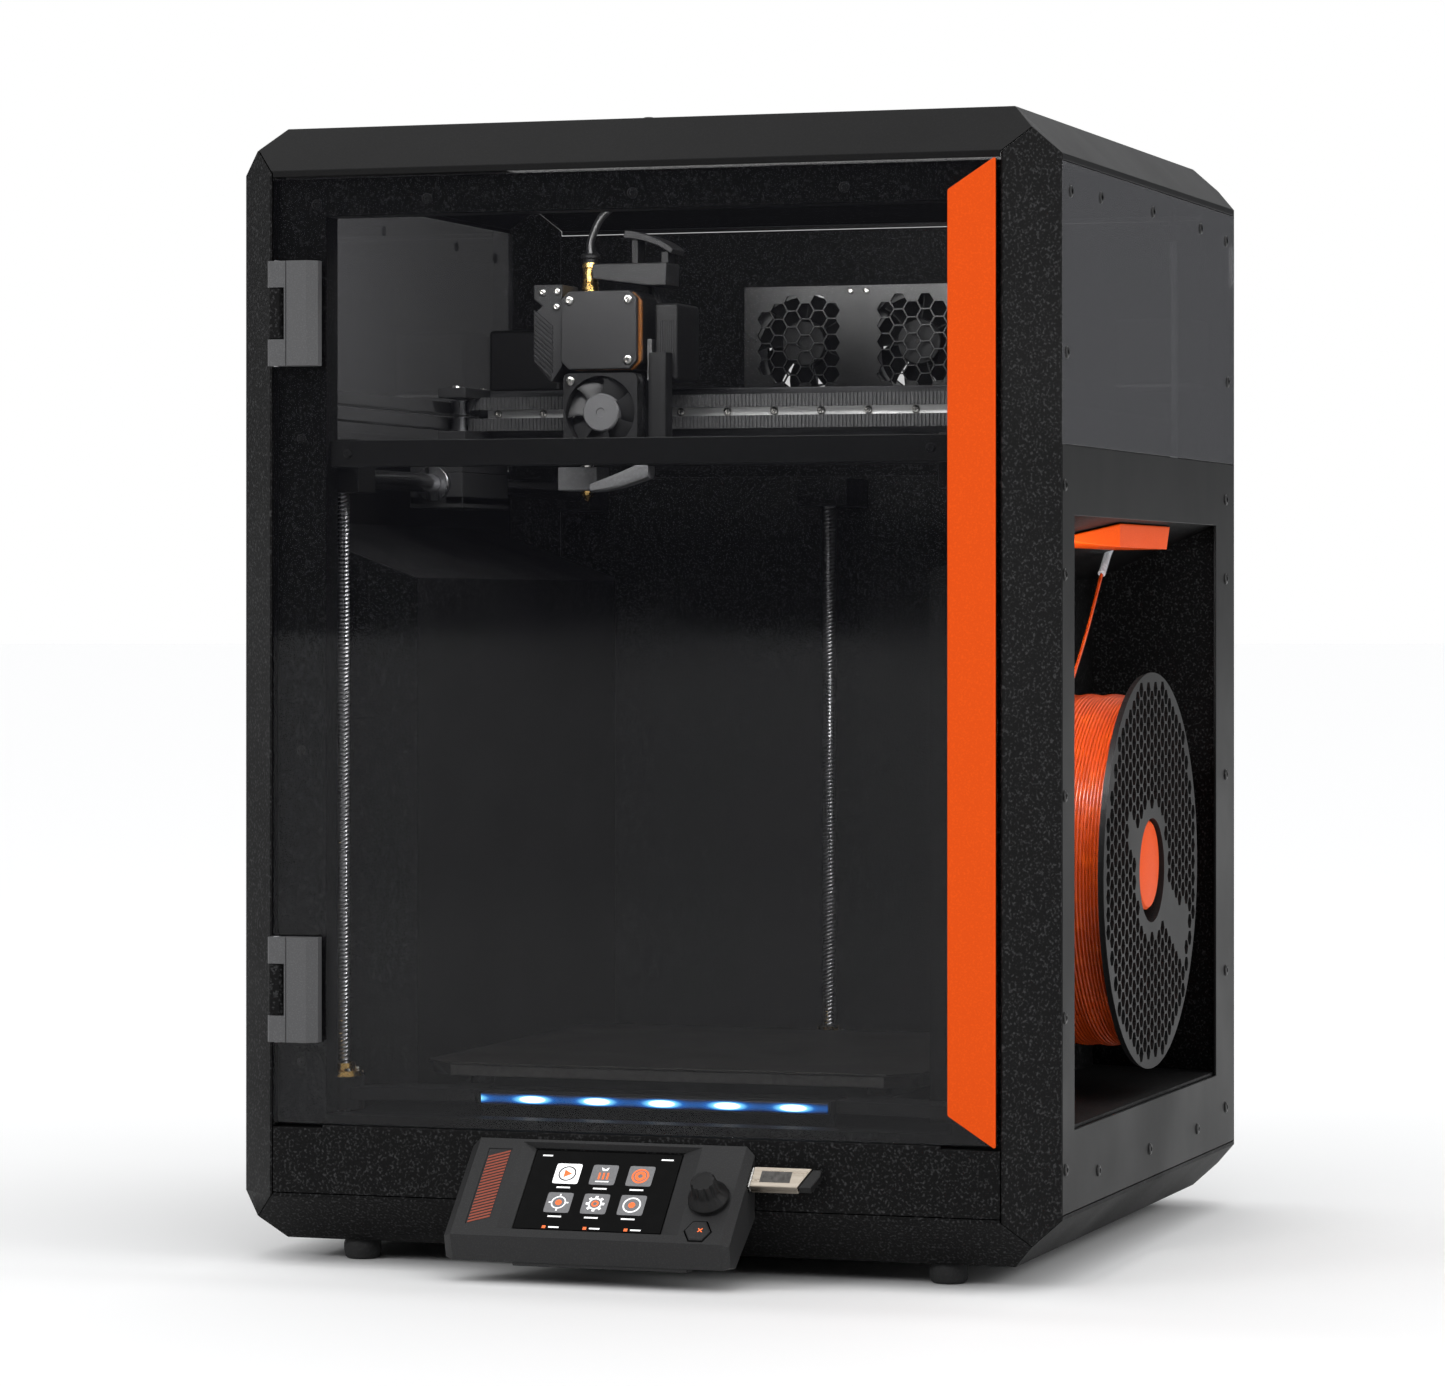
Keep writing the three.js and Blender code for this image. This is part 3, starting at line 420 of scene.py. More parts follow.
USUAL_SLOTS = {
    "steel": (STEEL, ROD, RAIL, BOLT, BLACK_BOLT), "fan_plastic": (FAN, HUB), "rubber": (RUBBER, BELT),
    "black_plastic": (BLACK, DARK, SOCK, GUARD, FEED, BOARD), "orange_plastic": (ORANGE, PRINT_ORANGE),
    "screen": (SCREEN, MARK_WHITE, MARK_GREY, MARK_ORANGE), "aluminium": (ALUMINIUM, CHAMPAGNE, BED),
    "brass": (BRASS, AMBER), "zinc": (ZINC,), "filament": (FILAMENT,), "clear_tube": (TUBE,),
}
SLOT_OF = {material.name: slot for slot, group in USUAL_SLOTS.items() for material in group}


def glow_material(x_first, pitch, level, spread):
    """A dark diffuser with bright spots at an even pitch along x, drawn out along its middle line."""
    material, shader = base_material("led_diffuser", (0.008, 0.009, 0.012), 0.3)
    nodes, links = material.node_tree.nodes, material.node_tree.links
    coordinates = nodes.new("ShaderNodeTexCoord")
    split = nodes.new("ShaderNodeSeparateXYZ")
    links.new(coordinates.outputs["Object"], split.inputs["Vector"])

    def chain(value, steps):
        for operation, *numbers in steps:
            node = nodes.new("ShaderNodeMath")
            node.operation = operation
            links.new(value, node.inputs[0])
            for socket, number in zip((1, 2), numbers):
                if isinstance(number, float):
                    node.inputs[socket].default_value = number
                else:
                    links.new(number, node.inputs[socket])
            value = node.outputs[0]
        return value

    along = chain(split.outputs["X"], [
        ("SUBTRACT", x_first), ("MULTIPLY", 2 * pi / pitch), ("COSINE",), ("MULTIPLY_ADD", 0.5, 0.5),
        ("POWER", 1.6), ("MULTIPLY_ADD", 0.72, 0.28)])
    across = chain(split.outputs["Z"], [
        ("SUBTRACT", level), ("MULTIPLY", 1 / spread), ("POWER", 2.0), ("MULTIPLY_ADD", -1.0, 1.0),
        ("MAXIMUM", 0.0)])
    glow = chain(along, [("MULTIPLY", across)])
    stops = [(0.0, (0, 0, 0)), (0.16, (0, 0.006, 0.03)), (0.36, (0, 0.05, 0.2)), (0.6, (0.1, 0.36, 0.6)),
             (0.8, (1, 1, 1))]
    links.new(ramp(material, glow, stops), shader.inputs["Emission Color"])
    shader.inputs["Emission Strength"].default_value = 4.0
    return material


# Camera, stage and lights

def camera():
    """A long lens at eye level, looking 18.4 degrees across the front, with a little shift."""
    data = bpy.data.cameras.new("camera")
    data.lens = 127.8
    data.sensor_width = 36.0
    data.shift_y = -0.0567
    data.clip_start, data.clip_end = 0.05, 50
    obj = added("camera", data)
    obj.location = ORIGIN + Vector((1021.5, -2305, 307.9)) * MM
    obj.rotation_euler = (radians(90), 0, radians(18.39))
    bpy.context.scene.camera = obj


def stage():
    """A pale floor and a white backdrop that lights the machine only a little."""
    mesh = bpy.data.meshes.new("floor")
    far = 60.0
    mesh.from_pydata([(-far, -far, 0), (far, -far, 0), (far, far, 0), (-far, far, 0)], [], [(0, 1, 2, 3)])
    material, _ = base_material("pale_floor", (0.88, 0.88, 0.88), 0.8)
    mesh.materials.append(material)
    added("floor", mesh)
    world = bpy.data.worlds.new("studio")
    world.use_nodes = True
    nodes, links = world.node_tree.nodes, world.node_tree.links
    seen = nodes["Background"]
    seen.inputs["Color"].default_value = (1, 1, 1, 1)
    seen.inputs["Strength"].default_value = 1.0
    dim = nodes.new("ShaderNodeBackground")
    dim.inputs["Color"].default_value = (0.9, 0.94, 1, 1)
    dim.inputs["Strength"].default_value = 0.1
    rays, mix = nodes.new("ShaderNodeLightPath"), nodes.new("ShaderNodeMixShader")
    links.new(rays.outputs["Is Camera Ray"], mix.inputs[0])
    links.new(dim.outputs[0], mix.inputs[1])
    links.new(seen.outputs[0], mix.inputs[2])
    links.new(mix.outputs[0], nodes["World Output"].inputs["Surface"])
    bpy.context.scene.world = world
    bpy.context.scene.view_settings.view_transform = "Standard"


def light(name, place, target, size, watts):
    data = bpy.data.lights.new(name, "AREA")
    data.shape = "RECTANGLE"
    data.size, data.size_y = size
    data.energy = watts
    obj = added(name, data)
    obj.location = place
    obj.rotation_euler = (Vector(target) - Vector(place)).to_track_quat("-Z", "Y").to_euler()
    obj.visible_camera = False


def overhead():
    """A broad, soft light from straight above, which keeps the floor white far out."""
    data = bpy.data.lights.new("overhead", "SUN")
    data.energy = 3.3
    data.angle = radians(140)
    added("overhead", data)


def lights():
    overhead()
    centre = (cad_low + cad_high) / 2
    light("key", (-1.9, -2.3, 1.5), centre, (1.0, 1.4), 16)
    light("side", (2.6, -0.5, 0.9), centre, (0.9, 1.5), 15)
    inner = ORIGIN + Vector((WIDTH / 2, 40, 515)) * MM
    light("chamber_top", inner, ORIGIN + Vector((WIDTH / 2, 260, 330)) * MM, (0.30, 0.03), 1.0)
    low = ORIGIN + Vector((WIDTH / 2, 70, 372)) * MM
    light("chamber_low", low, ORIGIN + Vector((WIDTH / 2, 250, 60)) * MM, (0.26, 0.05), 0.1)
    bay = ORIGIN + Vector((WIDTH - 30, 62, 322)) * MM
    light("bay", bay, ORIGIN + Vector((WIDTH - 60, 330, 210)) * MM, (0.04, 0.04), 0.3)


# Fasteners

def button_screw(shape, place, normal, radius=2.9, height=1.0):
    """A domed head with a hexagonal socket, standing on a face."""
    angles = around(24)
    rings = []
    for r, z in [(1, 0), (1, 0.35), (0.86, 0.8), (0.62, 1)]:
        rings.append([(radius * r * cos(a), radius * r * sin(a), height * z) for a in angles])
    for z in (1, 0.3):
        ring = []
        for a in angles:
            r = radius * 0.42 / cos((a % (pi / 3)) - pi / 6)
            ring.append((r * cos(a), r * sin(a), height * z))
        rings.append(ring)
    shape.rings(rings, facing(normal, place))


def screws(name, places, normal, material, body, radius=2.9, height=1.0, turn=None):
    shape = Shape(turn)
    for place in places:
        button_screw(shape, place, normal, radius, height)
    return piece(name, shape, material, body)


def enclosure_screws():
    side = [(y, z) for y in (28, 367) for z in (117, 221, 325)]
    side += [(28, 367), (367, 367), (91.7, 39), (196.4, 39), (300.7, 39), (29.7, 45.6), (367, 44.2)]
    window = [(39, 505.6), (96.6, 507), (202.7, 508), (307.6, 507), (367, 504.5), (31.6, 429.5),
              (370.8, 429.7)]
    right = [(WIDTH, y, z) for y, z in side + window]
    screws("right_side_screws", right, RIGHT, BLACK_BOLT, "frame")
    left = [(0, y, z) for y, z in side + window]
    screws("left_side_screws", left, LEFT, BLACK_BOLT, "frame")
    flange = [(x, 5.5, z) for x, z in ((45, 506), (102.7, 507.6), (208, 507.6), (313.7, 507.6))]
    screws("front_flange_screws", flange, FORWARD, BLACK_BOLT, "frame", 2.6, 1.1)
    bar = [(60, 9, 384.5), (355, 9, 384.5)]
    screws("front_bar_screws", bar, FORWARD, BLACK_BOLT, "frame", 2.4, 1.1)
    strip = [(37, 5.5, z) for z in (392, 240, 88)] + [(378, 5.5, z) for z in (392, 240, 88)]
    screws("front_strip_screws", strip, FORWARD, BLACK_BOLT, "frame", 2.3, 1.1)
    rear = [(x, DEPTH, z) for x in (34, 381) for z in (40, 160, 280, 400, 505)]
    rear += [(x, DEPTH, z) for x in (120, 207.5, 295) for z in (40, 505)]
    screws("rear_screws", rear, REARWARD, BLACK_BOLT, "frame")
    roof = [(x, y, HEIGHT) for x in (31, 384) for y in (60, 170, 280)]
    roof += [(207.5, y, HEIGHT) for y in (31, 309)]
    screws("roof_screws", roof, UP, BLACK_BOLT, "frame")


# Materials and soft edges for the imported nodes

NODE_LOOKS = {
    "base_tray": (POWDER, 0.5), "top_frame": (SMOOTH, 0.5), "top_window": (TOP_PANE, 0.4),
    "column_front_left": (POWDER, 0.5), "column_front_right": (POWDER, 0.5),
    "front_lower_panel": (POWDER, 0.5), "front_inner_frame": (POWDER, 0.4), "front_crossbar": (BLACK, 0.6),
    "left_side_panel": (SMOOTH, 0.4), "left_window": (WINDOW, 0.3),
    "right_side_panel": (SMOOTH, 0.4), "right_window": (WINDOW, 0.3),
    "spool_bay": (POWDER, 0.4), "electronics_cover": (POWDER, 0.4), "chamber_liner": (POWDER, 0.3),
    "rear_panel": (POWDER, 0.4), "power_supply": (ZINC, 0.4), "exhaust_fan_housing": (FAN, 0.25),
    "door_glass": (GLASS, 0.4), "door_handle": (ORANGE, 0.8),
    "hinge_leaf_upper": (LEAF, 0.5), "hinge_leaf_lower": (LEAF, 0.5),
    "bed_frame": (BLACK, 0.6), "heatbed": (BED, 0.5), "print_sheet": (SHEET, 0.25),
    "x_beam": (ALUMINIUM, 0.6), "x_carriage": (ALUMINIUM, 0.6), "filament_guide": (ORANGE, 1.2),
}


def node_looks():
    for name, (material, width) in NODE_LOOKS.items():
        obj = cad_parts[name]
        obj.data.materials.clear()
        obj.data.materials.append(material)
        bevelled(obj, width, weld=True)


# Enclosure pieces

def feet():
    for name in ("foot_front_left", "foot_front_right", "foot_rear_left", "foot_rear_right"):
        low, high = extent(name)
        x, y = ((low + high) / 2).xy
        depth = high.z - low.z
        profile = [(2, -depth), (7.6, -depth), (8.6, -depth + 0.9), (9.2, -6), (9.2, -2.4), (8.4, -0.4),
                   (2, -0.4)]
        shape = Shape().lathe(profile, moved(x, y), 40)
        piece(f"{name}_rubber", shape, RUBBER, "frame", replaces=[name])


def hinge_pins():
    for name, (low, high) in {"upper": (427, 478), "lower": (98.5, 149.5)}.items():
        shape = Shape()
        for z in (low - 0.3, high - 1.2):
            shape.rod((28.6, -5, z), (28.6, -5, z + 1.5), 1.9, 20, 0.3)
        piece(f"hinge_pin_{name}", shape, STEEL, "door")


def rear_details():
    """Fan screws and guards behind the exhaust openings."""
    shape = Shape()
    for x in EXHAUST_XS:
        for dx in (-25, 25):
            for dz in (-25, 25):
                button_screw(shape, (x + dx, DEPTH, EXHAUST_Z + dz), REARWARD, 2.6, 1.2)
    piece("exhaust_screws", shape, BLACK_BOLT, "frame")
    guard = Shape()
    for x in EXHAUST_XS:
        turn = facing(REARWARD, (x, DEPTH - 1.2, EXHAUST_Z))
        for radius in (8, 15, 22):
            wire = [(radius + 0.7 * cos(a), 0.7 * sin(a)) for a in around(8)]
            guard.lathe(wire, turn, 48, hollow=True)
        guard.box(x - 27.6, x + 27.6, DEPTH - 2.2, DEPTH - 1.3, 454.2, 455.8)
        guard.box(x - 0.8, x + 0.8, DEPTH - 2.2, DEPTH - 1.3, 427.4, 482.6)
    piece("exhaust_guards", guard, STEEL, "frame")
    switch = Shape().box(66, 90, DEPTH - 0.4, DEPTH + 0.8, 128, 129.2)
    switch.box(70, 86, DEPTH - 1, DEPTH + 2.2, 130, 142)
    piece("mains_switch", switch, BLACK, "frame", 0.5)


def main_board():
    """The controller behind the left panel."""
    piece("main_board", Shape().box(14, 15.6, 110, 300, 110, 290), BOARD, "frame", 0.2)
    chips = Shape()
    for k in range(5):
        chips.box(8, 14, 120 + 34 * k, 136 + 34 * k, 240, 256)
        chips.box(6, 14, 118 + 34 * k, 132 + 34 * k, 116, 124)
    chips.box(11.5, 14, 190, 214, 180, 204)
    piece("board_parts", chips, BLACK, "frame", 0.3)


def led_bar():
    shape = Shape().box(119, 296.5, 35, 41, 67.4, 72.8)
    first, level = ORIGIN.x + 146 * MM, ORIGIN.z + 70.1 * MM
    material = glow_material(first, 33.3 * MM, level, 2.6 * MM)
    piece("led_diffuser", shape, material, "frame", 0.8, slot="led_light")
    case = Shape().box(117.5, 298, 41.2, 44, 56.4, 73.4).box(117.5, 119, 35, 41.2, 66.8, 73.4)
    case.box(296.5, 298, 35, 41.2, 66.8, 73.4).box(119, 296.5, 35.4, 41.2, 66.6, 67.3)
    piece("led_case", case, BLACK, "frame", 0.3, ["led_bar"])


# Motion pieces

SCREW_LEAD = 8.0
THREAD_PITCH = 2.0


def lead_screw(name, x, y, low, high):
    """A four-start right-hand trapezoidal thread of 8 mm lead, with plain ends."""
    rings = []
    count = int((high - low) / 0.5)
    for k in range(count + 1):
        z = low + (high - low) * k / count
        ring = []
        for angle in around(24):
            phase = ((z - SCREW_LEAD * angle / (2 * pi)) % THREAD_PITCH) / THREAD_PITCH
            groove = max(0.0, min(1.0, 2.2 - 5.2 * abs(phase - 0.5)))
            plain = z < low + 12 or z > high - 8
            radius = 3.95 if plain else 3.95 - 0.75 * groove
            ring.append((x + radius * cos(angle), y + radius * sin(angle), z))
        rings.append(ring)
    piece(f"{name}_thread", Shape().rings(rings), STEEL, name, replaces=[name])


def z_drive():
    for name, (x, y) in SCREWS_XY.items():
        low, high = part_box(f"lead_screw_{name}")
        lead_screw(f"lead_screw_{name}", x, y, (low.z - ORIGIN.z) / MM, (high.z - ORIGIN.z) / MM)
        motor = Shape().box(x - 21, x + 21, y - 17, y + 21, 12, 51)
        piece(f"z_motor_{name}", motor, BLACK, "frame", 2.0)
        turn = moved(x, y)
        nut = [(4.6, 79.2), (10.6, 79.2), (10.6, 81.8), (6.6, 81.8), (6.6, 85.5), (4.6, 85.5)]
        piece(f"nut_{name}", Shape().lathe(nut, turn, 32, hollow=True), BRASS, "bed")
        bolts = [(x + 8 * cos(a), y + 8 * sin(a), 81.8) for a in (0.8, 2.37, 3.94, 5.5)]
        screws(f"nut_screws_{name}", bolts, UP, BOLT, "bed", 1.7, 1.4)
        collar = [(4.4, 56.3), (9, 56.3), (9, 57.7), (7.4, 58.4), (4.4, 58.4)]
        piece(f"screw_bearing_{name}", Shape().lathe(collar, turn, 32, hollow=True), STEEL, "frame")


def bed_details():
    places = [(105, 75), (310, 75), (105, 275), (310, 275)]
    screws("bed_screws", [(x, y, 84.6) for x, y in places], UP, BLACK_BOLT, "bed", 2.6, 0.35)
    shape = Shape().box(180, 235, 296.3, 303, 74, 83)
    piece("bed_connector", shape, DARK, "bed", 0.8)


def pulley(shape, x, y, z, flange, groove, lip):
    """A toothless pulley with a flange at each end."""
    rim = [(0.8, z), (flange, z), (flange, z + lip), (groove, z + lip + 0.1),
           (groove, z + 6.9), (flange, z + 7), (flange, z + 7 + lip), (0.8, z + 7 + lip)]
    shape.lathe(rim, moved(x, y), 32)


def y_drive():
    for side, at in (("left", lambda x: x), ("right", mirror)):
        low, high = extent(f"y_rod_{side}")
        rod = Shape().rod((at(ROD_X), low.y, ROD_Z), (at(ROD_X), high.y, ROD_Z), 4.95, 32, 0.6)
        piece(f"y_rod_{side}_ground", rod, ROD, "frame", replaces=[f"y_rod_{side}"])
        x = at(31)
        motor = Shape().box(x - 21, x + 21, 330, 372, 428, 462)
        piece(f"xy_motor_{side}", motor, BLACK, "frame", 2.2)
        face = Shape().box(x - 20.4, x + 20.4, 330.6, 371.4, 425, 427.8)
        piece(f"xy_motor_face_{side}", face, ZINC, "frame", 1.2)
        pulleys = Shape()
        for y in (33, 351):
            for z in (402.6, 410.6):
                pulley(pulleys, x, y, z, 7, 5.3, 0.6)
        piece(f"belt_pulleys_{side}", pulleys, STEEL, "frame")
        pin = Shape().rod((x, 33, 392.3), (x, 33, 420.5), 2.2, 16)
        piece(f"idler_pin_{side}", pin, STEEL, "frame")
        for level, (z0, z1) in {"lower": (403.4, 409.2), "upper": (411.4, 417.2)}.items():
            belt = Shape()
            for run, away in ((at(36.6), at(35.0)), (at(25.4), at(27.0))):
                lo, hi = sorted((run, run + (run - away) * 0.55))
                belt.box(lo, hi, 33, 351, z0, z1)
                near, far = sorted((run, run - (run - away) * 0.45))
                for k in range(158):
                    belt.box(near, far, 34 + 2 * k, 35 + 2 * k, z0 + 0.1, z1 - 0.1)
            piece(f"y_belt_{side}_{level}", belt, BELT, "frame")


def y_carriages():
    mirrored = moved(WIDTH, 0) @ Matrix.Scale(-1, 4, RIGHT)
    for side, turn in (("left", Matrix.Identity(4)), ("right", mirrored)):
        body = Shape(turn)
        body.box(28.4, 57.6, 168.4, 234.6, 379.6, 388.8)
        body.box(28.4, 36.2, 168.4, 234.6, 363, 379.6).box(47.8, 57.6, 168.4, 234.6, 363, 379.6)
        body.box(28.4, 57.6, 168.4, 234.6, 361.3, 367.6)
        body.box(42.4, 57.6, 172.4, 231.6, 388.8, 401.2).box(42.4, 57.6, 172.4, 231.6, 418.4, 423.6)
        body.box(50.8, 57.6, 208.5, 231.6, 401.2, 418.4)
        piece(f"y_carriage_{side}_body", body, DARK, "gantry", 0.5, [f"y_carriage_{side}"])
        bearing = Shape(turn)
        barrel = [(5.1, 0), (8.6, 0), (9, 0.4), (9, 4.6), (5.1, 4.6)]
        bearing.lathe(barrel, facing(REARWARD, (ROD_X, 164.8, ROD_Z)), 36, hollow=True)
        piece(f"y_bearing_{side}", bearing, STEEL, "gantry")
        wheel = Shape(turn)
        for z in (401.8, 410.4):
            pulley(wheel, 44.6, 200.2, z, 6.6, 5.2, 0.5)
        piece(f"carriage_pulleys_{side}", wheel, STEEL, "gantry")
        bolts = [(50, y, 423.6) for y in (180, 218)] + [(44.6, 200.2, 423.6)]
        screws(f"carriage_screws_{side}", bolts, UP, BOLT, "gantry", 2.3, 1.6, turn)


def x_drive():
    rail = Shape().box(60, mirror(60), 198.2, 204.8, 404.6, 416.4)
    piece("x_rail", rail, RAIL, "gantry", 0.5)
    heads = [(66 + 25.2 * k, 198.2, 410.5) for k in range(12)]
    screws("x_rail_screws", heads, FORWARD, BOLT, "gantry", 2.2, 1.1)
    for level, (z0, z1) in {"upper": (412.6, 419.2), "lower": (401.7, 408.3)}.items():
        belt = Shape().box(51, mirror(51), 194.2, 195.2, z0, z1)
        for k in range(156):
            belt.box(52 + 2 * k, 53.1 + 2 * k, 193.45, 194.3, z0 + 0.1, z1 - 0.1)
        piece(f"x_belt_{level}", belt, BELT, "gantry")


# Toolhead

def octagon(x0, x1, z0, z1, c):
    return [(x0 + c, z0), (x1 - c, z0), (x1, z0 + c), (x1, z1 - c),
            (x1 - c, z1), (x0 + c, z1), (x0, z1 - c), (x0, z0 + c)]


def on_y(shape, outline, y0, y1):
    """An outline in x and z, running from y0 to y1."""
    turn = Matrix.Rotation(radians(90), 4, "X")
    return shape.prism(outline, -y1, -y0, turn)


def extruder():
    plate = on_y(Shape(), octagon(117.5, 158.2, 431, 471, 4), 153, 156.6)
    piece("motor_cover", plate, DARK, "toolhead", 0.7, ["extruder_body"])
    edge = on_y(Shape(), octagon(119, 159.6, 430.6, 470.4, 4.6), 156.8, 159.4)
    piece("motor_edge", edge, AMBER, "toolhead", 0.3)
    body = on_y(Shape(), octagon(117.6, 158.4, 431, 470.8, 3), 159.6, 187.4)
    body.box(121, 153, 182, 187.4, 388.4, 431.4)
    piece("extruder_case", body, BLACK, "toolhead", 0.8)
    fins = Shape()
    for k in range(11):
        fins.box(122, 152.6, 163.2, 182, 390 + 3.8 * k, 391.5 + 3.8 * k)
    fins.box(134, 140, 163.6, 182, 389.4, 430)
    piece("heatsink", fins, ALUMINIUM, "toolhead", 0.2)
    corners = [(122.1, 153, 466.2), (153.7, 153, 466.4), (153.7, 153, 435.6)]
    screws("cover_screws", corners, FORWARD, BOLT, "toolhead", 2.5, 1.4)
    turn = moved(FITTING_X, FITTING_Y)
    collar = [(2.3, 471), (4.4, 471), (4.4, 476.5), (3.9, 477), (3.9, 484), (4.3, 484.6), (4.3, 487),
              (2.3, 487)]
    piece("fitting", Shape().lathe(collar, turn, 24, hollow=True), BRASS, "toolhead")
    cap = [(2.3, 487.2), (3.7, 487.2), (3.7, 489), (5, 489.6), (5, 491), (4.2, 491.8), (2.3, 491.8)]
    piece("fitting_collet", Shape().lathe(cap, turn, 24, hollow=True), BLACK, "toolhead")


def toolhead_cover():
    """The bracket over the extruder, the hood over its cables and the plug board beside it."""
    bracket = on_y(Shape(), [(129.5, 478), (160, 474), (169.5, 474), (170, 485.6), (129.5, 485.6)], 166, 187)
    piece("top_bracket", bracket, DARK, "toolhead", 0.7)
    rings = []
    for k in range(13):
        t = k / 12
        angle = radians(8 + 66 * t)
        x, z = 146 + 27 * sin(angle) * t ** 0.4, 487 + 16 * cos(angle) ** 0.8
        rings.append([(x, 170, z), (x, 190, z), (x - 1.2, 190, z - 4 + 1.5 * t),
                      (x - 1.2, 170, z - 4 + 1.5 * t)])
    piece("cable_hood", Shape().rings(rings), DARK, "toolhead", 0.5)
    posts = Shape().box(147.5, 151, 176, 187, 485.8, 500).box(163.5, 167.5, 176, 187, 485.8, 492)
    piece("hood_posts", posts, BLACK, "toolhead", 0.4)
    side = Shape().box(160.2, 162.8, 163.5, 181, 425.4, 446.6)
    piece("side_plate", side, ZINC, "toolhead", 0.4)
    loom = Shape()
    for dx, dy in ((0, 0), (2.2, 1), (1.1, 2.6), (3.2, 3)):
        route = [(153 + dx, 180 + dy, 485.6), (153.4 + dx, 182 + dy, 476), (156 + dx, 184 + dy, 466)]
        loom.tube(route, 0.9, 10)
    piece("cable_loom", loom, BLACK, "toolhead", slot="rubber")


def idler():
    side = [(101, 474.8), (116.6, 474.8), (116.6, 433), (110.7, 424.8), (101, 435.4), (101, 460),
            (105.6, 464), (101, 467.4)]
    piece("idler_lever", on_y(Shape(), side, 157.2, 181.8), DARK, "idler", 0.7, ["idler_door"])
    ribs = Shape()
    faces = [(0, 1, 2, 3), (7, 6, 5, 4), (0, 4, 5, 1), (1, 5, 6, 2), (2, 6, 7, 3), (3, 7, 4, 0)]
    for k in range(11):
        z = 434.2 + 2.5 * k
        left, right = 101.6, min(111.6, z - 323.4)
        points = []
        for y, more in ((156.2, 0), (157.4, 0.2)):
            points += [(left, y, z + 1.5 - more), (right, y, z - 7 - more),
                       (right, y, z - 5.7 + more), (left, y, z + 2.8 + more)]
        ribs.solid(points, faces)
    piece("idler_ribs", ribs, DARK, "idler")
    heads = [(106, 157.2, 471), (114, 157.2, 471.3), (113.5, 157.2, 463.4)]
    screws("idler_screws", heads, FORWARD, BOLT, "idler", 1.9, 1.2)


def blade(shape, turn, hub, tip, low, high, angle, twist):
    """One curved blade, thinner at its tip, from a grid over its span and chord."""
    across, along = 6, 5
    skins = []
    for face in (0.5, -0.5):
        skin = []
        for i in range(along + 1):
            r = hub - 0.5 + (tip - hub + 0.5) * i / along
            for j in range(across + 1):
                t = j / across
                a = angle + twist * (t - 0.5) * (1.25 - 0.35 * i / along) + 0.16 * (i / along) ** 2
                a += face * 0.95 * (0.55 + 1.2 * t * (1 - t)) / r
                skin.append((r * cos(a), r * sin(a), low + (high - low) * t))
        skins.append(skin)
    n = across + 1
    count = len(skins[0])
    faces = []
    for i in range(along):
        for j in range(across):
            a = i * n + j
            faces.append((a, a + 1, a + n + 1, a + n))
            faces.append((count + a, count + a + n, count + a + n + 1, count + a + 1))
    edge = [*range(n), *[n * i + across for i in range(1, along + 1)],
            *[n * along + j for j in range(across - 1, -1, -1)], *[n * i for i in range(along - 1, 0, -1)]]
    for k, a in enumerate(edge):
        b = edge[(k + 1) % len(edge)]
        faces.append((a, count + a, count + b, b))
    shape.solid(skins[0] + skins[1], faces, turn)


def rotor(name, x, z, y0, y1, hub, tip, blades, body, node, hub_material=HUB):
    turn = facing(FORWARD, (x, y1, z))
    depth = y1 - y0
    fan = Shape()
    for angle in around(blades):
        blade(fan, turn, hub, tip, 0.8, depth - 0.8, angle, 0.95)
    piece(f"{name}_blades", fan, FAN, body, replaces=[node])
    cap = [(1.2, 0), (hub - 0.4, 0), (hub, 0.6), (hub, depth - 0.8),
           (hub - 0.7, depth), (2.4, depth), (2.2, depth - 0.5), (0.6, depth - 0.5)]
    piece(f"{name}_hub", Shape().lathe(cap, turn, 40), hub_material, body)


def hotend_fan():
    x, z, half = 139, 409, 20
    turn = facing(FORWARD, (x, 162.4, z))
    shell = Shape().plate(rounded_square(half, 2.6), circle(18.6), 0, 2.2, turn)
    shell.plate(rounded_square(half, 2.6), circle(18.6), 8.2, 10.4, turn)
    shell.plate(circle(19.6), circle(18.6), 2.2, 8.2, turn)
    for dx in (-16, 16):
        for dz in (-16, 16):
            shell.rod((x + dx, 160.2, z + dz), (x + dx, 154.2, z + dz), 2.9, 16, 0.1)
    shell.lathe([(0.6, 0.1), (9.4, 0.1), (9.4, 1.5), (0.6, 1.5)], turn, 32)
    for angle in (0.5, 2.6, 4.7):
        arm = turn @ Matrix.Rotation(angle, 4, "Z")
        shell.box(8, 19, -1.1, 1.1, 0.1, 1.5, arm)
    piece("hotend_fan_shell", shell, FAN, "toolhead", replaces=["hotend_fan_frame"])
    corners = [(x - 16, 152, z + 16), (x - 16, 152, z - 16), (x + 16, 152, z - 16)]
    screws("hotend_fan_screws", corners, FORWARD, BOLT, "toolhead", 2.5, 1.3)
    rotor("hotend_rotor", x, z, 152.6, 160.2, 9.7, 17.8, 7, "hotend_fan_rotor", "hotend_fan_rotor")
    for name, material, dx in (("red", RED_WIRE, 0), ("blue", BLUE_WIRE, 1.6)):
        wire = Shape().tube([(126 + dx, 161, 402), (124.5 + dx, 161, 398.5), (122.5 + dx, 161, 395)], 0.55, 8)
        piece(f"fan_wire_{name}", wire, material, "toolhead", slot="rubber")


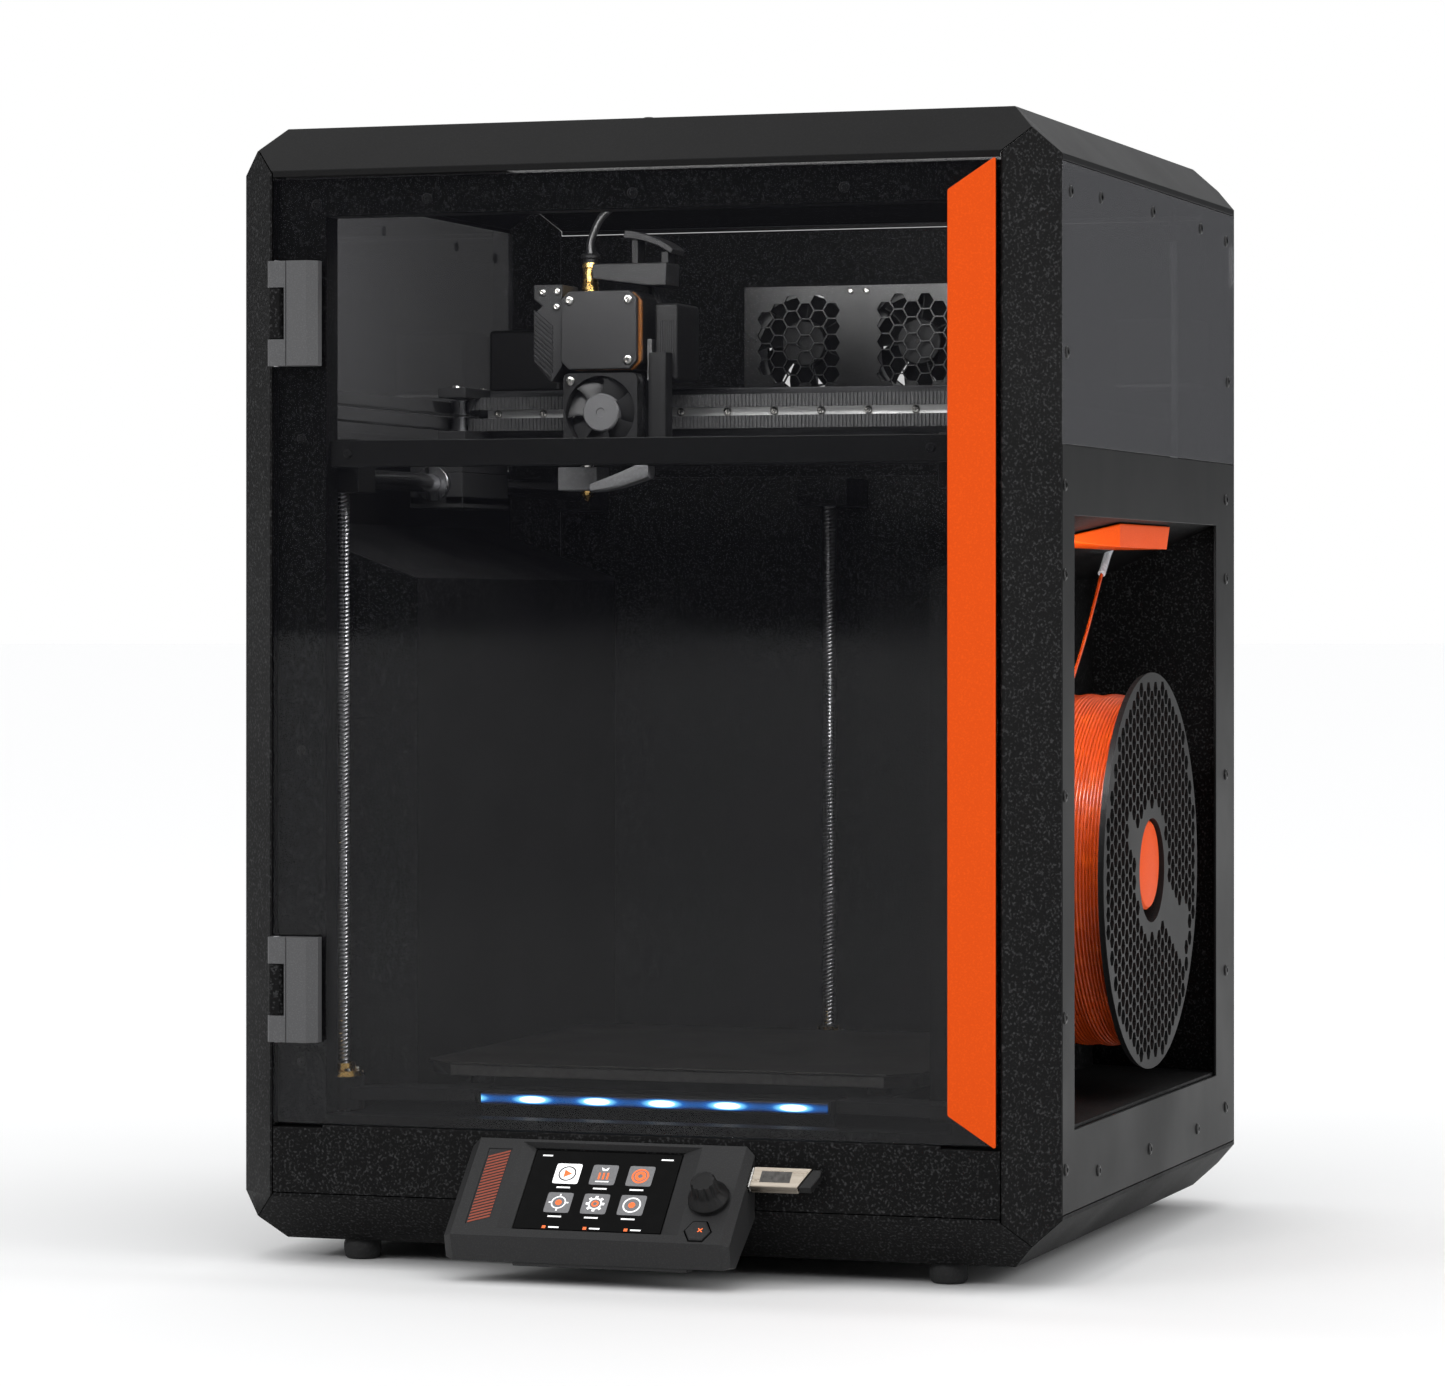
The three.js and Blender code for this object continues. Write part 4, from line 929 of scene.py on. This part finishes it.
def print_fan():
    body = Shape().box(164.4, 176.8, 163.2, 197.8, 425.4, 464.6)
    piece("blower", body, BLACK, "toolhead", 1.6, ["print_fan_duct"])
    vent = Shape()
    for k in range(7):
        vent.box(167 + 1.2 * k, 167.6 + 1.2 * k, 162.7, 163.4, 434, 456)
    piece("blower_grille", vent, DARK, "toolhead", 0.1)
    rings = []
    corners = [rounded_square(1, 0.45)(a) for a in around(24)]
    for y, z, depth in ((157.5, 439, 5.8), (157.3, 424, 6), (157.2, 404, 6), (157.2, 389, 6)):
        rings.append([(169.6 + 5.2 * u, y + depth * v, z) for u, v in corners])
    piece("duct_drop", Shape().rings(rings), BLACK, "toolhead")
    tip = []
    corners = [rounded_square(1, 0.5)(a) for a in around(24)]
    for k in range(9):
        t = k / 8
        low, high = 375.4 - 6.9 * sin(t * pi / 2), 386.4 - 13.4 * t ** 0.8
        middle, half = (low + high) / 2, (high - low) / 2
        tip.append([(164.6 - 31.2 * t, 157.6 + (5.4 - 0.4 * t) * u, middle + half * v) for u, v in corners])
    piece("duct_nozzle", Shape().rings(tip), SOCK, "toolhead")
    elbow = Shape().box(161, 176.6, 151.6, 163, 381.6, 390.4)
    piece("duct_elbow", elbow, BLACK, "toolhead", 1.6)


def hotend():
    x, y, tip = 122, 180, 364.4
    sock = Shape().box(109.2, 130.8, 170.2, 189.8, 369.7, 381.8)
    piece("heater_sock", sock, SOCK, "toolhead", 0.9, ["hotend"])
    turn = moved(x, y)
    profile = [(0.3, tip), (0.75, tip), (3.2, tip + 3.2), (3.4, tip + 3.6), (3.4, 370), (0.3, 370)]
    piece("nozzle", Shape().lathe(profile, turn, 32), BRASS, "toolhead")
    tube = [(0.3, 381.6), (3.4, 381.6), (3.4, 387.5), (0.3, 387.5)]
    piece("heat_break", Shape().lathe(tube, turn, 24), BOLT, "toolhead")


# Air

def exhaust():
    """Two fans in square frames, behind a guard of open hexagons."""
    xs, level, bore, front, rear = EXHAUST_XS, EXHAUST_Z, 28, 378.8, 406.4
    guard = Shape().box(142, 273, front, front + 1.6, level - 31, level + 31)
    cells = Shape()
    pitch, across = 8.8, 4.05
    for column in range(-9, 10):
        for row in range(-4, 5):
            x = 207.5 + column * pitch * cos(pi / 6)
            z = level + (row + (column % 2) / 2) * pitch
            if any(hypot(x - fan, z - level) < bore - across * 0.7 for fan in xs):
                on_y(cells, hexagon(x, z, across), front - 1, front + 3)
    piece("exhaust_guard", carved("exhaust_guard", guard, cells), GUARD, "frame",
          replaces=["exhaust_fan_housing"])
    frames, struts = Shape(), Shape()
    for fan in xs:
        turn = facing(FORWARD, (fan, rear, level))
        frames.plate(rounded_square(30.6, 3), circle(bore), 0.6, rear - front - 2, turn)
        struts.lathe([(0.5, 1), (12, 1), (12, 3.4), (0.5, 3.4)], turn, 40)
        for angle in (0.4, 2.5, 4.6):
            struts.box(11, 28.6, -1.6, 1.6, 1, 3, turn @ Matrix.Rotation(angle, 4, "Z"))
    piece("exhaust_frames", frames, FAN, "frame")
    piece("exhaust_struts", struts, FAN, "frame")
    for side, fan in zip(("left", "right"), xs):
        node = f"exhaust_rotor_{side}"
        rotor(f"exhaust_{side}", fan, level, 384, 401.6, 12.6, 26.8, 7, node, node, FAN)
    screws("exhaust_guard_screws", [(x, front, level + 28) for x in (203, 212)], FORWARD, BOLT, "frame", 1.8)


# Filament

def hexagon(x, y, across):
    """Six corners, two of them level with the middle."""
    corner = across / cos(pi / 6)
    return [(x + corner * cos(a), y + corner * sin(a)) for a in around(6)]


def honeycomb_flange(name, x0, x1, y, z, radius, hub):
    """A round flange pierced by hexagons, left solid at its rim, its hub and two patches."""
    turn = facing(RIGHT, (x0, y, z))
    disc = Shape().plate(circle(radius), circle(hub), 0, x1 - x0, turn)
    cells = Shape()
    pitch, across = 8.7, 3.65
    for column in range(-14, 15):
        for row in range(-13, 14):
            u = column * pitch * cos(pi / 6)
            v = (row + (column % 2) / 2) * pitch
            reach = hypot(u, v)
            along, beside = u * 0.88 - v * 0.47, u * 0.47 + v * 0.88
            patch = 20 < along < 84 and abs(beside) < 13 or 28 < -along < 56 and abs(beside) < 8
            if hub + 5.5 < reach < radius - 4.6 and not patch:
                cells.prism(hexagon(u, v, across), -1, x1 - x0 + 1, turn)
    return carved(name, disc, cells)


def spool():
    low, high = extent("spool")
    y, z = ((low + high) / 2).yz
    x0, x1, radius, hub, flange = low.x, high.x, 99, 26.3, 3.2
    outer = honeycomb_flange("spool_flange_outer", x1 - flange, x1, y, z, radius, hub)
    piece("spool_flange_outer", outer, BLACK, "spool", replaces=["spool"])
    inner = honeycomb_flange("spool_flange_inner", x0, x0 + flange, y, z, radius, hub)
    piece("spool_flange_inner", inner, BLACK, "spool")
    turn = facing(RIGHT, (0, y, z))
    core = Shape().lathe([(hub, x0 + 3.3), (30, x0 + 3.3), (30, x1 - 3.3), (hub, x1 - 3.3)], turn, 64,
                         hollow=True)
    for a, b in ((x0, x0 + 0.7), (x1 - 0.7, x1)):
        edge = [(radius - 0.1, a), (radius + 0.9, a), (radius + 0.9, b), (radius - 0.1, b)]
        core.lathe(edge, turn, 96, hollow=True)
    piece("spool_core", core, BLACK, "spool")
    start, end = x0 + flange + 0.5, x1 - flange - 0.5
    turns, wound, strand = 32, 87.7, 0.875
    pitch = (end - start) / turns
    profile = [(30.3, start)]
    for k in range(turns):
        for step in range(1, 8):
            angle = pi * step / 8
            layer = wound + 0.35 * sin(0.9 * k)
            profile.append((layer + strand * sin(angle), start + pitch * (k + 0.5 - 0.5 * cos(angle))))
    profile.append((30.3, end))
    winding = Shape().lathe(profile, turn, 144, hollow=True)
    piece("filament_turns", winding, FILAMENT, "spool", replaces=["filament_winding"])


def spool_holder():
    low, high = extent("spool_holder")
    x0, x1 = low.x, high.x
    turn = facing(RIGHT, (0, *((low + high) / 2).yz))
    cup = [(19, x0), (22.9, x0), (22.9, x1 - 1.6), (21.6, x1 - 0.2), (20.8, x1), (0.8, x1), (0.8, x1 - 4),
           (19, x1 - 4)]
    piece("spool_cap", Shape().lathe(cup, turn, 64, hollow=True), ORANGE, "frame", replaces=["spool_holder"])
    plug = Shape().lathe([(0.05, x1 - 4), (0.85, x1 - 4), (0.85, x1), (0.05, x1)], turn, 24)
    piece("spool_cap_centre", plug, ORANGE, "frame")


def smooth_route(points, steps):
    """A Catmull-Rom curve through the points."""
    points = [Vector(p) for p in points]
    points = [points[0] * 2 - points[1], *points, points[-1] * 2 - points[-2]]
    spans = len(points) - 3
    made = []
    for k in range(steps + 1):
        at = min(k * spans / steps, spans - 1e-6)
        i, t = int(at), at - int(at)
        a, b, c, d = points[i:i + 4]
        cubic = (2 * a - 5 * b + 4 * c - d) * t * t + (3 * b - a - 3 * c + d) * t ** 3
        made.append(0.5 * (2 * b + (c - a) * t + cubic))
    return made


TUBE_ROUTE = [(376, 253, 327), (376, 272, 340.5), (381, 281, 347.5), (394, 291, 353), (402, 297, 364),
              (403, 300, 392), (403, 301, 440), (403, 300, 480), (402, 299, 506)]


def filament_path():
    clear = Shape().tube(smooth_route(TUBE_ROUTE, 72), 1.95, 16)
    piece("guide_tube", clear, TUBE, "frame", replaces=["filament_tube"])
    strand = smooth_route([(376, 161.5, 243.9), (376, 184, 265.6), (376.4, 220, 296.8), (376, 252.6, 326.6)],
                          24)
    piece("filament_run", Shape().tube(strand, 0.875, 12), FILAMENT, "frame", replaces=["filament_strand"])
    anchor = Shape().rod((402, 299, 500), (402, 299, 508.5), 4.2, 20, 0.6)
    piece("tube_clip", anchor, BLACK, "frame")


def feed_tube():
    """Two fixed runs that meet on the gantry, on no body."""
    anchor, half, fitting = (402, 299, 508), (270, 219, 535.2), (FITTING_X, FITTING_Y, 491.6)
    rear = smooth_route([anchor, (401, 294, 520), (383, 276, 531), (330, 245, 535.2), half], 48)
    rear = Shape().tube(rear, 1.95, 14)
    obj = piece("feed_tube_rear", rear, FEED, None, replaces=["feed_tube"])
    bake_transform(obj)
    front = [half, (210, 199, 534.4), (160, 186, 528), (133, 181.5, 514), (124.4, 180.2, 500), fitting]
    front = Shape().tube(smooth_route(front, 48), 1.95, 14)
    obj = piece("feed_tube_front", front, FEED, None)
    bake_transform(obj)


# Control panel

KNOB = (256.5, -32.5)
RESET = (255.3, -51.6)
SCREEN_DEEP = -3.2
ON_SCREEN = TILTED @ moved(0, 0, SCREEN_DEEP)


def panel_housing():
    """A wedge with chamfered sides, a tapered pocket for the screen and a well for each control."""
    x0, x1, side = 129.2, 271.5, 4
    body = Shape()
    top, low, under = (PANEL_TOP_Y, PANEL_TOP_Z), (PANEL_LOW_Y, PANEL_LOW_Z), (PANEL_LOW_Y + 4, 0.6)
    middle = [top, low, under, (-30, 0.2), (PANEL_TOP_Y, 21)]
    edges = [(top[0], top[1] - 4.2), (low[0] + 2.6, low[1] - 1.4), (under[0] + 1.4, 1.8), (-30, 0.8),
             middle[-1]]
    for (y, z), (edge_y, edge_z) in zip(middle, edges):
        for point in ((x0 + side, y, z), (x1 - side, y, z), (x0, edge_y, edge_z), (x1, edge_y, edge_z)):
            body.mesh.verts.new(point)
    hull = bmesh.ops.convex_hull(body.mesh, input=body.mesh.verts)
    loose = [g for g in hull["geom_interior"] if isinstance(g, bmesh.types.BMVert)]
    bmesh.ops.delete(body.mesh, geom=loose, context="VERTS")
    tool = Shape(TILTED)
    pane = [(161.6, -51.9), (236.4, -51.9), (236.4, -3.1), (161.6, -3.1)]
    rim = [(155, -54.3), (246.2, -54.3), (246.2, -1.6), (155, -1.6)]
    deep = [(x, v, SCREEN_DEEP - 1) for x, v in pane], [(x, v, SCREEN_DEEP - 0.1) for x, v in pane]
    tool.rings([*deep, [(x, v, 0.1) for x, v in rim]])
    well = [(3.6, -14), (3.6, -0.7), (10.1, -0.7), (10.3, 0.4)]
    tool.lathe(well, moved(*KNOB), 48)
    tool.lathe([(7.1, -6), (7.1, 0.5)], moved(*RESET), 6)
    tool.box(257.4, 280, -21.6, -8.4, -8.5, -3.1)
    tool.box(139, 151, -52.2, -6.2, -0.4, 0.5)
    case = piece("panel_case", carved("panel_case", body, tool), DARK, "frame", 0.5, ["lcd_housing"])
    case.modifiers["bevel"].angle_limit = radians(20)
    lip = Shape().box(163, 250, -37.6, -28, -1.2, 0.9)
    piece("panel_lip", lip, DARK, "frame", 0.5)


def panel_hatch():
    """Plain diagonal stripes on the left of the panel's face."""
    stripes = Shape(TILTED)
    x0, x1, low, high, rise, wide = 139.8, 150.2, -51.3, -7, 3.9, 1.0
    count = 22
    for k in range(count):
        v = low + (high - low - rise - wide) * k / (count - 1)
        corners = [(x0, v), (x1, v + rise), (x1, v + rise + wide), (x0, v + wide)]
        stripes.prism(corners, -0.36, -0.22)
    piece("panel_hatch", stripes, PRINT_ORANGE, "frame")


def ring(shape, x, v, outer, inner, sides=36):
    profile = [(inner, 0.3), (outer, 0.3), (outer, 0.38), (inner, 0.38)]
    shape.lathe(profile, moved(x, v), sides, hollow=True)


def screen():
    """A lit menu of six plain tiles, with bars where a display would have words."""
    glass = Shape(ON_SCREEN).box(162.1, 235.9, -51.4, -3.6, -0.8, 0.1)
    piece("screen_pane", glass, SCREEN, "frame", 0.3, ["lcd_screen"])
    white, dim, warm, dark = [Shape(ON_SCREEN) for _ in range(4)]
    outline = [rounded_square(1, 0.14)(a) for a in around(48)]
    tiles = [(181.1 + 18.4 * (k % 3), -17.8 - 17.5 * (k // 3)) for k in range(6)]
    for k, (x, v) in enumerate(tiles):
        tile = white if k == 0 else dim
        tile.prism([(6.4 * a, 6 * b) for a, b in outline], 0.14, 0.24, moved(x, v))
        white.box(x - 3.4, x + 3.4, v - 8.7, v - 7.9, 0.14, 0.2)
    x, v = tiles[0]
    ring(dark, x, v, 4.4, 3.8)
    warm.prism([(x - 1.5, v - 2.3), (x + 2.4, v), (x - 1.5, v + 2.3)], 0.3, 0.38)
    x, v = tiles[1]
    white.prism([(x - 1.9, v + 4.5), (x - 1.2, v + 2.4), (x + 1.2, v + 2.4), (x + 1.9, v + 4.5),
                 (x, v + 3.2)], 0.3, 0.38)
    white.box(x - 3.4, x + 3.4, v - 4.4, v - 3.8, 0.3, 0.38)
    for dx in (-2.1, 0, 2.1):
        warm.box(x + dx - 0.45, x + dx + 0.45, v - 2.8, v + 1.2, 0.3, 0.38)
    x, v = tiles[2]
    ring(warm, x, v, 4.3, 3.4)
    ring(warm, x, v, 2.8, 1.2)
    x, v = tiles[3]
    ring(white, x, v, 3.7, 3.1)
    for k in range(4):
        turn = moved(x, v) @ Matrix.Rotation(pi / 2 * k, 4, "Z")
        white.box(3.9, 5, -0.35, 0.35, 0.3, 0.38, turn)
    ring(warm, x, v, 1.6, 0.3)
    x, v = tiles[4]
    ring(white, x, v, 3.4, 2.7)
    for k in range(8):
        turn = moved(x, v) @ Matrix.Rotation(pi / 4 * k, 4, "Z")
        white.box(3.5, 4.6, -0.7, 0.7, 0.3, 0.38, turn)
    ring(warm, x, v, 1.8, 1.0)
    x, v = tiles[5]
    ring(white, x, v, 4.5, 3.8)
    ring(warm, x, v, 1.7, 0.2)
    white.box(166, 171, -7.6, -6.8, 0.14, 0.2)
    white.box(226, 232, -7.9, -7.1, 0.14, 0.2)
    for x in (176.5, 197, 217.5):
        warm.box(x, x + 1.8, -50.8, -49.2, 0.14, 0.2)
        white.box(x + 3.2, x + 8.4, -50.4, -49.6, 0.14, 0.2)
    piece("icon_ring", dark, SCREEN, "frame")
    piece("icons_white", white, MARK_WHITE, "frame")
    piece("icons_grey", dim, MARK_GREY, "frame")
    piece("icons_orange", warm, MARK_ORANGE, "frame")


def knob():
    """A cone skirt under a grip with ten flutes, on a steel shaft."""
    steps = around(120)
    profile = [(9.8, 1.7, 0), (9.8, 2.6, 0), (8.4, 4.6, 0), (7.0, 6.2, 0.4),
               (6.5, 8, 1), (6.2, 12.9, 1), (5.6, 14, 0.8), (3.4, 14.2, 0)]
    rings = []
    for r, z, flute in profile:
        radii = [r - flute * 0.8 * max(0.0, cos(10 * a)) ** 1.5 for a in steps]
        rings.append([(q * cos(a), q * sin(a), z) for q, a in zip(radii, steps)])
    for z in (9.6, 1.7):
        rings.append([(3.3 * cos(a), 3.3 * sin(a), z) for a in steps])
    at = moved(*KNOB)
    grip = Shape(TILTED @ at).rings(rings, closed=True)
    grip.lathe([(0.1, 13), (3.5, 13), (3.5, 14.15), (0.1, 14.15)], None, 32)
    piece("knob_grip", grip, BLACK, "knob", replaces=["knob"])
    shaft = Shape(TILTED).lathe([(0.4, -12), (2.6, -12), (3, -11.5), (3, 8.6), (2.6, 9), (0.4, 9)], at, 32)
    piece("encoder_shaft", shaft, STEEL, "knob_shaft", replaces=["knob_shaft"])


def reset_button():
    at = moved(*RESET)
    cap = Shape(TILTED).lathe([(0.4, -4.5), (6.3, -4.5), (6.3, 0.6), (5.6, 1.1), (0.4, 1.1)], at, 6)
    piece("reset_cap", cap, DARK, "reset_button", 0.2, ["reset_button"])
    # The orange cross is print on the cap, drawn with the emissive screen orange, so it carries a painted
    # glow.
    mark = Shape(TILTED @ at)
    for angle, lift in ((45, 0.015), (-45, -0.015)):
        turn = moved(1.4, 0) @ Matrix.Rotation(radians(angle), 4, "Z")
        mark.box(-1.5, 1.5, -0.28, 0.28, 1.12 + lift, 1.2 + lift, turn)
    piece("reset_mark_painted_glow", mark, MARK_ORANGE, "reset_button", slot="orange_plastic")


def usb_stick():
    low, high, under, over = -20.9, -9.1, -8.3, -3.3
    sleeve = Shape(TILTED).prism([(272.7, low), (296, low), (301, high), (272.7, high)], under, over)
    piece("stick_sleeve", sleeve, CHAMPAGNE, "usb_stick", 0.5, ["usb_stick"])
    plug = Shape(TILTED).box(258.4, 272.6, low, high, -7.6, -4)
    piece("stick_plug", plug, BOLT, "usb_stick", 0.2)
    foot, head = low + 0.3, high - 0.3
    end = [(296.4, foot), (302.4, foot), (305.8, high - 4), (305.8, head), (301.4, head)]
    body = Shape(TILTED).prism(end, under + 0.6, over - 0.6)
    piece("stick_body", body, BLACK, "usb_stick", 0.5)
    plate = Shape(TILTED).box(277, 292, low + 2.6, high - 2.6, over - 0.02, over + 0.06)
    piece("stick_plate", plate, BED, "usb_stick")


camera()
stage()
lights()
node_looks()
enclosure_screws()
feet()
hinge_pins()
rear_details()
main_board()
led_bar()
z_drive()
bed_details()
y_drive()
y_carriages()
x_drive()
extruder()
toolhead_cover()
idler()
hotend_fan()
print_fan()
hotend()
exhaust()
spool()
spool_holder()
filament_path()
feed_tube()
panel_housing()
panel_hatch()
screen()
knob()
reset_button()
usb_stick()
